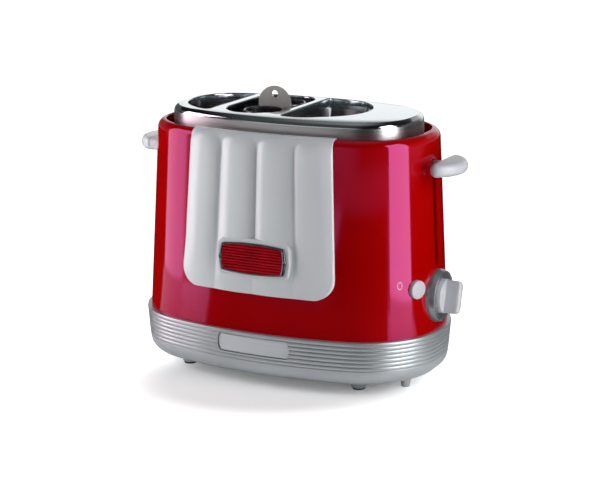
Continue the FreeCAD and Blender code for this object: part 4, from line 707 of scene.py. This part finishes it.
def make_badge():
    place = badge_place()
    pad = filleted([(3.4, -0.5), (2.7, PAD_TOP, 1.0), (-3.0, PAD_TOP)])
    rings = [[(p.x, p.y, z) for p in bowed(grow)] for grow, z in pad]
    piece("badge_pad", stacked(rings, place), "housing", "white_gloss", ["front_panel"])

    top = PAD_TOP + BADGE_THICK
    rim = filleted([(0, PAD_TOP - 0.3), (-0.1, top, 0.9), (-BADGE_RIM + 0.2, top - 0.1, 0.6),
                    (-BADGE_RIM, PAD_TOP + 0.6), (-BADGE_RIM, PAD_TOP - 0.3)], steps=5)
    rows = [[place @ Vector((p.x, p.y, z)) for p in bowed(grow)] for grow, z in rim]
    shapes = [grid(rows, True, True)]
    for side in (-1, 1):
        dome = filleted([(0, PAD_TOP - 0.2), (TAB_R, PAD_TOP - 0.2), (TAB_R - 0.3, top - 0.1, 1.6), (0, top)])
        at = Matrix.Translation((side * (BADGE_WIDTH / 2 - TAB_INSET), 0, 0))
        shapes.append(lathe(dome, place @ (at @ Matrix.Diagonal((0.8, 1.5, 1, 1))), 48))
    piece("badge_rim", joined(*shapes), "housing", "chrome", ["badge_frame"])

    opening = bowed(-BADGE_RIM + 0.1)
    high = max(p.y for p in opening) - 0.05
    levels = [(v + high, v) for v in spread(-high, high, 110, 0.6)]

    def half(v):
        return half_at(opening, v)

    def rib(x, v):
        return RIB_HEIGHT * abs(math.cos(math.pi * v / RIB_PITCH)) ** 0.7

    def on_badge(x, v, rise):
        return place @ Vector((x, v, PAD_TOP + 0.9 + rise))

    piece("badge_ribs", plate(levels, half, rib, on_badge, -0.8, 0.5, 30), "housing", "badge_red",
          ["badge_plate"])


def nameplate(grow, proud, back):
    """Plate with bowed ends that leans with the ribs, grown all round, its face proud of them."""
    middle, high = (NAME_LOW_Z + NAME_HIGH_Z) / 2, (NAME_HIGH_Z - NAME_LOW_Z) / 2 + grow
    lean = (BASE_LIP - BASE_BULGE) / (SEAM_Z - RIB_Z)

    def half(level):
        return NAME_HALF + grow + NAME_BOW * (1 - ((level[1] - middle) / high) ** 2)

    def rise(x, level):
        return BASE_BULGE + lean * (level[1] - RIB_Z) + proud

    levels = [(z - middle + high, (0, z, 1, 0)) for z in spread(middle - high, middle + high, 22, 0.5)]
    return plate(levels, half, rise, front_place, back, 0.4, 90)


def make_nameplate():
    piece("nameplate_bare", nameplate(0, -NAME_SUNK, -0.3), "housing", "nameplate_metal", ["nameplate"])


# ---- Steel cap ----------------------------------------------------------------------------------------

def oval_offset(x, y):
    """How far a point inside the housing's oval lies outside it, below zero for inside."""
    x, y = abs(x), abs(y)
    if math.atan2(y, x - END_X) < END_TURN:
        return math.hypot(x - END_X, y) - END_RADIUS
    if math.atan2(y - SIDE_Y, x) > SIDE_TURN:
        return math.hypot(x, y - SIDE_Y) - SIDE_RADIUS
    return math.hypot(x - CORNER_X, y - CORNER_Y) - CORNER_RADIUS


def deck_z(point):
    """Height of the deck, which falls a little towards its edge."""
    out = max(0.0, oval_offset(point.x, point.y) + CROWN_OFFSET)
    return DECK_Z - CAP_CROWN * out / (CROWN_OFFSET - BEVEL_OFFSET)


def bun_opening(side, grow):
    """Half-round outline of a bun opening grown by a distance, its straight side to the middle."""
    chord, far, radius = BUNS[0] if side < 0 else BUNS[1]
    chord, far, r = chord - side * grow, far + side * grow, radius + grow
    corner, middle = BUN_CORNER_R + grow, abs(far) - r
    inset = abs(chord) + corner - middle
    across = math.sqrt((r - corner) ** 2 - inset ** 2)
    turn = math.atan2(across, inset)
    bend = arc(inset, across, corner, math.pi, turn, 8)
    line = bend + arc(0, 0, r, turn, -turn, 48)[1:-1] + [(x, -y) for x, y in reversed(bend)]
    return [Vector((CAVITY_X + side * (middle + x), y)) for x, y in line]


def centre_opening(grow):
    x, y, r = CENTRE_HALF_X + grow, CENTRE_HALF_Y + grow, CENTRE_CORNER_R + grow
    return [Vector((CAVITY_X + p.x, p.y)) for p in rounded_box(-x, -y, x, y, r, 16)]


def make_cap():
    crease = DECK_Z - CAP_CROWN
    outer = filleted([(-CAP_WALL, LEDGE_Z), (-CAP_WALL, crease - BEVEL_DROP * BEVEL_BEND, CAP_EDGE_R),
                      (-BEVEL_OFFSET, crease, 0.5), (-CROWN_OFFSET, DECK_Z)], steps=12)
    inner = [(-CROWN_OFFSET, DECK_Z - CAP_SHEET), (-BEVEL_OFFSET - 0.5, crease - CAP_SHEET),
             (-CAP_WALL - CAP_SHEET, crease - BEVEL_DROP), (-CAP_WALL - CAP_SHEET, LEDGE_Z)]
    profile = outer + inner
    verts, faces = turned(profile)
    width, count = len(profile), len(verts) // len(profile)
    faces = [f for f in faces if {f[0] % width, f[1] % width} != {len(outer) - 1, len(outer)}]
    for j in (len(outer) - 1, len(outer)):
        faces.append(tuple(i * width + j for i in range(count)))
    outlines = (lambda g: bun_opening(-1, g), centre_opening, lambda g: bun_opening(1, g))
    heights = (DECK_Z - CUT_REACH, DECK_Z + CUT_REACH)
    cuts = [stacked([[(*p, z) for p in outline(LIP_R)] for z in heights]) for outline in outlines]
    mesh = carved(mesh_of("cap_body", (verts, faces), 30), cuts)
    piece("cap_body", mesh, "housing", "deck_steel", ["top_cap"])
    mesh.materials.append(FINISHES["brushed_wall"])
    for face in mesh.polygons:
        if face.center.z < (crease - BRUSHED_BELOW * BEVEL_DROP) * MM:
            face.material_index = 1

    lip = filleted([(LIP_R, 0), (0, 0, LIP_R), (0, -FLANGE_DEPTH)], steps=6)
    lip += [Vector((CAP_SHEET + 0.1, -FLANGE_DEPTH)), Vector((CAP_SHEET + 0.1, -CAP_SHEET))]
    shapes = []
    for outline in outlines:
        tops = [deck_z(p) - DECK_Z for p in outline(LIP_R)]
        loops = [outline(grow) for grow, _ in lip]
        rows = [[Vector((*loop[i], DECK_Z + z + top * (z > -FLANGE_DEPTH)))
                 for loop, (_, z) in zip(loops, lip)] for i, top in enumerate(tops)]
        shapes.append(grid(rows, True, True))
    piece("deck_lips", mesh_of("deck_lips", joined(*shapes), 50), "housing", "deck_steel", ["top_cap"])


# ---- Handles, dial and button -------------------------------------------------------------------------

def half_moon(reach, inset, z):
    """Level outline of a paddle that points along +X, inset all round."""
    centre, back = reach - PADDLE_R, reach - PADDLE_BACK
    corner = back + PADDLE_TIP_R - centre
    across = math.sqrt((PADDLE_R - PADDLE_TIP_R) ** 2 - corner ** 2)
    turn = math.atan2(across, corner)
    tip = arc(centre + corner, across, PADDLE_TIP_R - inset, math.pi, turn, 10)[:-1]
    line = tip + arc(centre, 0, PADDLE_R - inset, turn, -turn, 48) + [(x, -y) for x, y in reversed(tip)]
    return [(x, y, z) for x, y in line]


def paddle(reach, place=Matrix()):
    r = PADDLE_EDGE_R
    rings = []
    for a in quarter():
        rings.append((r * (1 - math.sin(a)), LEVER_LOW_Z + r * (1 - math.cos(a))))
    rings += [(inset, LEVER_LOW_Z + LEVER_HIGH_Z - z) for inset, z in reversed(rings)]
    return stacked([half_moon(reach, inset, z) for inset, z in rings], place)


def make_handles():
    piece("lever_paddle", paddle(LEVER_REACH), "carriage", "white_gloss", ["lever"], "white_plastic_shaded")
    flip = Matrix.Scale(-1, 4, (1, 0, 0))
    w, low, high, r = HANDLE_NECK / 2, LEVER_LOW_Z + 0.3, LEVER_HIGH_Z - 0.3, 4.0
    section = rounded_box(-w, low, w, high, r)
    neck = stacked([[(x, y, z) for y, z in section]
                    for x in (-HANDLE_REACH + PADDLE_BACK - 6, -HALF_LENGTH + 10.8)])
    # The left handle, the same plastic as the lever, takes the brighter white: painted light that lifts it
    # out of its shade
    piece("left_handle_grip", joined(paddle(HANDLE_REACH, flip), neck), "housing", "white_gloss",
          ["left_handle"])


def along_x(x=0.0):
    """Placement on the dial's axis: local Z points out along +X, local Y up."""
    return axes_at((x, 0, DIAL_Z), Vector((0, 1, 0)), Vector((0, 0, 1)), Vector((1, 0, 0)))


def make_dial():
    face = BEZEL_FACE_X
    seat, low = face - BEZEL_SEAT_DEPTH, face - BEZEL_SUNK
    ring = filleted([(BEZEL_BORE_R, BEZEL_BACK_X), (BEZEL_BORE_R, seat), (BEZEL_SEAT_R, seat, 0.3),
                     (BEZEL_SEAT_R, low, 0.3), (BEZEL_R - 2.2, low, 0.3), (BEZEL_R - 1.9, face, 0.2),
                     (BEZEL_R - 1.3, face, 0.4), (BEZEL_R, face - 4.0, 1.5),
                     (BEZEL_R, BEZEL_BACK_X)], steps=5)
    piece("dial_ring", lathe(ring, along_x()), "housing", "silver_plastic", ["dial_bezel"],
          "bezel_silver")

    disc = filleted([(0, face - 3.0), (KNOB_R, face - 3.0), (KNOB_R - 0.4, face + 2.4, 1.2),
                     (0, face + 2.8)])
    w, h, r, tall = GRIP_WIDTH / 2, GRIP_HEIGHT / 2, GRIP_EDGE_R, GRIP_ROUND
    rings = []
    steps = [(0, 0, face + 1.0), (0.2, 0, face + 5)]
    for a in quarter():
        x = KNOB_END_X - tall * (1 - math.sin(a))
        edge = max(0.0, 1 - (KNOB_END_X - x) / r)
        steps.append((0.3 + r * (1 - math.sqrt(1 - edge ** 2)), tall * (1 - math.cos(a)), x))
    for narrow, short, x in steps:
        u, v = w - narrow, h - short
        rings.append([(p.x, p.y, x) for p in rounded_box(-u, -v, u, v, 1.4, 6)])
    turn = Matrix.Rotation(math.radians(GRIP_TURN), 4, "Z")
    knob = joined(lathe(disc, along_x()), stacked(rings, along_x() @ turn))
    piece("knob_with_grip", knob, "dial", "white_gloss", ["dial_knob"], "white_plastic_shaded")


def digit(text, place):
    """Raised shape of a digit about its middle, on a placement's XY plane, as (vertices, faces)."""
    curve = bpy.data.curves.new("digit", "FONT")
    curve.body, curve.size, curve.extrude = text, MARK_SIZE, MARK_RAISE
    curve.align_x, curve.align_y, curve.resolution_u = "CENTER", "CENTER", 4
    item = placed("digit", curve)
    mesh = bpy.data.meshes.new_from_object(item.evaluated_get(bpy.context.evaluated_depsgraph_get()))
    shape = [place @ v.co for v in mesh.vertices], [tuple(p.vertices) for p in mesh.polygons]
    bpy.data.objects.remove(item)
    return shape


def make_marks():
    """Generic numbers round the dial with a tick between each two, and a small ring by the button."""
    face, shapes = BEZEL_FACE_X - BEZEL_SUNK, []
    for i in range(2 * MARK_COUNT - 1):
        turn = Matrix.Rotation(math.radians(MARK_SPAN * (0.5 - i / (2 * MARK_COUNT - 2))), 4, "Z")
        place = along_x(face) @ turn @ Matrix.Translation((0, MARK_R, 0))
        if i % 2 == 0:
            shapes.append(digit(str(i // 2), place))
        else:
            bar = [(-0.2, -0.8), (0.2, -0.8), (0.2, 0.8), (-0.2, 0.8)]
            shapes.append(stacked([[(u, v, w) for u, v in bar] for w in (-0.1, MARK_RAISE)], place))
    piece("dial_numbers", joined(*shapes), "housing", "dark_plastic", ["dial_bezel"], "mark_ink")

    rows = []
    for i in range(RING_STEPS):
        a, row = 2 * math.pi * i / RING_STEPS, []
        for grow, height in ((0, -0.2), (0, 0.08), (RING_LINE, 0.08), (RING_LINE, -0.2)):
            across = math.degrees((RING_WIDE + grow) * math.cos(a) / CORNER_RADIUS)
            place = wall_frame(RING_TURN + across, RING_Z + (RING_HIGH + grow) * math.sin(a))
            row.append(place @ Vector((0, 0, height)))
        rows.append(row)
    piece("off_ring", grid(rows, True, True), "housing", "white_gloss", ["shell"], "mark_pale")


def make_button():
    place = wall_frame(BUTTON_TURN, BUTTON_Z)
    cap = filleted([(0, -5.5), (BUTTON_R, -5.5), (BUTTON_R, BUTTON_PROUD - 0.3, 1.3),
                    (3.0, BUTTON_PROUD, 3.0), (0, BUTTON_PROUD)])
    piece("button_cap", lathe(cap, place, 72), "cancel_button", "white_gloss", ["cancel_button"],
          "white_plastic_shaded")


# ---- CAD nodes that stay ------------------------------------------------------------------------------

OWN_FINISH = {"lifting_tab": "tab_steel", "sausage_tube_front": "tube_steel",
              "sausage_tube_rear": "tube_steel"}


def dress_nodes():
    """Gives each CAD node that still shows its slot's material."""
    for row in frame["record"]["subparts"]:
        node = frame["nodes"][row["node"]]
        node.data.materials.clear()
        node.data.materials.append(FINISHES[OWN_FINISH.get(row["node"], row["material_slot"])])
        node.data.shade_smooth()
        node.data.set_sharp_from_angle(angle=math.radians(30))


# ---- Stage --------------------------------------------------------------------------------------------

def add_camera():
    a, e = math.radians(CAMERA_AZIMUTH), math.radians(CAMERA_ELEVATION)
    back = Vector((math.sin(a) * math.cos(e), -math.cos(a) * math.cos(e), math.sin(e)))
    right = Vector((math.cos(a), math.sin(a), 0))
    data = bpy.data.cameras.new("camera")
    data.sensor_width = 36.0
    data.lens = FOCAL_PIXELS / IMAGE_WIDTH * data.sensor_width
    data.clip_start, data.clip_end = 0.01, 100
    camera = placed("camera", data)
    camera.matrix_world = axes_at(Vector(CAMERA_AT) * MM, right, back.cross(right), back)
    scene.camera = camera


def softbox(name, box, power, colour):
    """Upright area light over the line between two corners on the floor, facing the object, not mirrored."""
    corner, far, height, lift = box
    up = Vector((0, 0, 1))
    a, b = Vector((*corner, 0)), Vector((*far, 0))
    along = (b - a).normalized()
    middle = (a + b) / 2
    middle.z = lift + height / 2
    facing = along.cross(up)
    if facing.dot(middle) < 0:
        facing.negate()
    data = bpy.data.lights.new(name, "AREA")
    data.shape, data.size, data.size_y = "RECTANGLE", (b - a).length * MM, height * MM
    data.energy, data.color = power, colour
    light = placed(name, data)
    light.matrix_world = axes_at(middle * MM, up.cross(facing), up, facing)
    light.visible_camera = light.visible_glossy = False


def add_lights():
    softbox("softbox_right", RIGHT_BOX, *RIGHT_LIGHT)
    softbox("softbox_left", LEFT_BOX, *LEFT_LIGHT)


def shown_in_gloss(name, rows, strength=0.0, near=1.0, colour=(1, 1, 1)):
    """Card that only reflections show: black, or glowing, with a share of its strength near the object."""
    verts, faces = grid(rows)
    mesh = bpy.data.meshes.new(name)
    mesh.from_pydata([v * MM for v in verts], [], faces)
    material, tree, shader = nodes_of(name)
    setting(shader, Base_Color=(0.01, 0.01, 0.01, 1), Specular_IOR_Level=0.0)
    if strength:
        away = length_of(tree, tree.nodes.new("ShaderNodeTexCoord").outputs["Object"])
        fade = mapped(tree, away, GLOW_NEAR * MM, GLOW_FAR * MM, near * strength, strength)
        setting(shader, Emission_Color=(*colour, 1))
        tree.links.new(fade, shader.inputs["Emission Strength"])
    mesh.materials.append(material)
    card = placed(name, mesh)
    card.visible_camera = card.visible_diffuse = card.visible_shadow = False


def ring_rows(first, last, near, height):
    """Rows of a level sector between two azimuths in degrees, from a near edge out to the cards' reach."""
    rows = []
    for i in range(CARD_STEPS + 1):
        a = math.radians(first + (last - first) * i / CARD_STEPS)
        rows.append([Vector((r * math.cos(a), r * math.sin(a), height)) for r in (near, CARD_REACH)])
    return rows


def add_cards():
    """Black cards and a glowing one on the floor, then a strip at each softbox with the glow before it."""
    for i, (first, last, near) in enumerate(FLAGS):
        shown_in_gloss("flag_%d" % i, ring_rows(first, last, near, FLAG_Z))
    first, last, near, strength = FRONT_CARD
    shown_in_gloss("front_card", ring_rows(first, last, near, FRONT_CARD_Z), strength)
    for name, wall_a, far_a, wall_b, far_b, foot, colour, strength, floor_strength in STRIPS:
        rows = [[Vector((*far, z)) for z in (foot, STRIP_TOP)] for far in (far_a, far_b)]
        shown_in_gloss("strip_" + name, rows, strength, 1.0, colour)
        rows = []
        for start, end in ((wall_a, far_a), (wall_b, far_b)):
            start, end = Vector((*start, GLOW_Z)), Vector((*end, GLOW_Z))
            rows.append([start.lerp(end, GLOW_START), start.lerp(end, GLOW_END)])
        shown_in_gloss("glow_" + name, rows, floor_strength, GLOW_SHARE, colour)


def add_world():
    """World that is white to the camera, shaped for reflections, and a soft light on everything else."""
    world = bpy.data.worlds.new("studio")
    scene.world = world
    world.use_nodes = True
    tree = world.node_tree
    tree.nodes.clear()
    where, parts = tree.nodes.new("ShaderNodeTexCoord"), tree.nodes.new("ShaderNodeSeparateXYZ")
    tree.links.new(where.outputs["Generated"], parts.inputs[0])
    path = tree.nodes.new("ShaderNodeLightPath").outputs

    sky = tree.nodes.new("ShaderNodeValToRGB")
    while len(sky.color_ramp.elements) < len(SKY_STOPS):
        sky.color_ramp.elements.new(1.0)
    for element, (place, level) in zip(sky.color_ramp.elements, SKY_STOPS):
        element.position, element.color = place, (level, level, level, 1)
    tree.links.new(parts.outputs["Z"], sky.inputs["Fac"])
    sides = [mapped(tree, parts.outputs[axis], *span) for axis, *span in SKY_SIDES]
    level = sides[0]
    for side in sides[1:]:
        level = combined(tree, "MULTIPLY", level, side)
    seen, soft = tree.nodes.new("ShaderNodeBackground"), tree.nodes.new("ShaderNodeBackground")
    tree.links.new(sky.outputs["Color"], seen.inputs["Color"])
    tree.links.new(combined(tree, "MAXIMUM", level, path["Is Camera Ray"]), seen.inputs["Strength"])
    setting(soft, Color=SOFT_COLOUR)
    tree.links.new(mapped(tree, parts.outputs["Y"], *SOFT_SPAN), soft.inputs["Strength"])

    sharp = combined(tree, "MAXIMUM", path["Is Camera Ray"], path["Is Glossy Ray"])
    mix, out = tree.nodes.new("ShaderNodeMixShader"), tree.nodes.new("ShaderNodeOutputWorld")
    tree.links.new(combined(tree, "MAXIMUM", sharp, path["Is Transmission Ray"]), mix.inputs["Fac"])
    tree.links.new(soft.outputs[0], mix.inputs[1])
    tree.links.new(seen.outputs[0], mix.inputs[2])
    tree.links.new(mix.outputs[0], out.inputs["Surface"])


def add_floor():
    """Floor that takes the real shadow, that the camera sees as white away from the object, and whose glow
    drops in an oval in front of the object as a painted shadow.
    """
    size = FLOOR_HALF
    mesh = bpy.data.meshes.new("floor")
    corners = ((-1, -1), (1, -1), (1, 1), (-1, 1))
    mesh.from_pydata([Vector((x * size, y * size, 0)) * MM for x, y in corners], [], [(0, 1, 2, 3)])
    floor = placed("floor", mesh)
    material, tree, shader = nodes_of("floor")
    setting(shader, Base_Color=(0.9, 0.9, 0.9, 1), Roughness=1.0, Specular_IOR_Level=0.0)
    where, mapping = tree.nodes.new("ShaderNodeTexCoord"), tree.nodes.new("ShaderNodeMapping")
    mapping.vector_type = "TEXTURE"
    setting(mapping, Location=PAINTED_SHADOW_AT, Rotation=(0, 0, math.radians(CAMERA_AZIMUTH)), Scale=PAINTED_SHADOW_SIZE)
    tree.links.new(where.outputs["Object"], mapping.inputs["Vector"])
    # Painted shadow: the glow that the camera sees falls off towards the object, darkest in an oval in front
    # of it
    fade = mapped(tree, length_of(tree, mapping.outputs["Vector"]), *PAINTED_SHADOW_FADE, "SMOOTHSTEP")
    path, glow = tree.nodes.new("ShaderNodeLightPath"), tree.nodes.new("ShaderNodeEmission")
    setting(glow, Color=(1, 1, 1, 1))
    tree.links.new(combined(tree, "MULTIPLY", path.outputs["Is Camera Ray"], fade), glow.inputs["Strength"])
    add = tree.nodes.new("ShaderNodeAddShader")
    tree.links.new(shader.outputs[0], add.inputs[0])
    tree.links.new(glow.outputs[0], add.inputs[1])
    tree.links.new(add.outputs[0], tree.nodes["Material Output"].inputs["Surface"])
    mesh.materials.append(material)


# ---- Everything ---------------------------------------------------------------------------------------

dress_nodes()
make_shell()
make_base()
make_feet()
make_panel()
make_badge()
make_nameplate()
make_cap()
make_handles()
make_dial()
make_marks()
make_button()
add_camera()
add_lights()
add_world()
add_floor()
add_cards()
scene.view_settings.view_transform = "Standard"

bpy.context.view_layer.update()
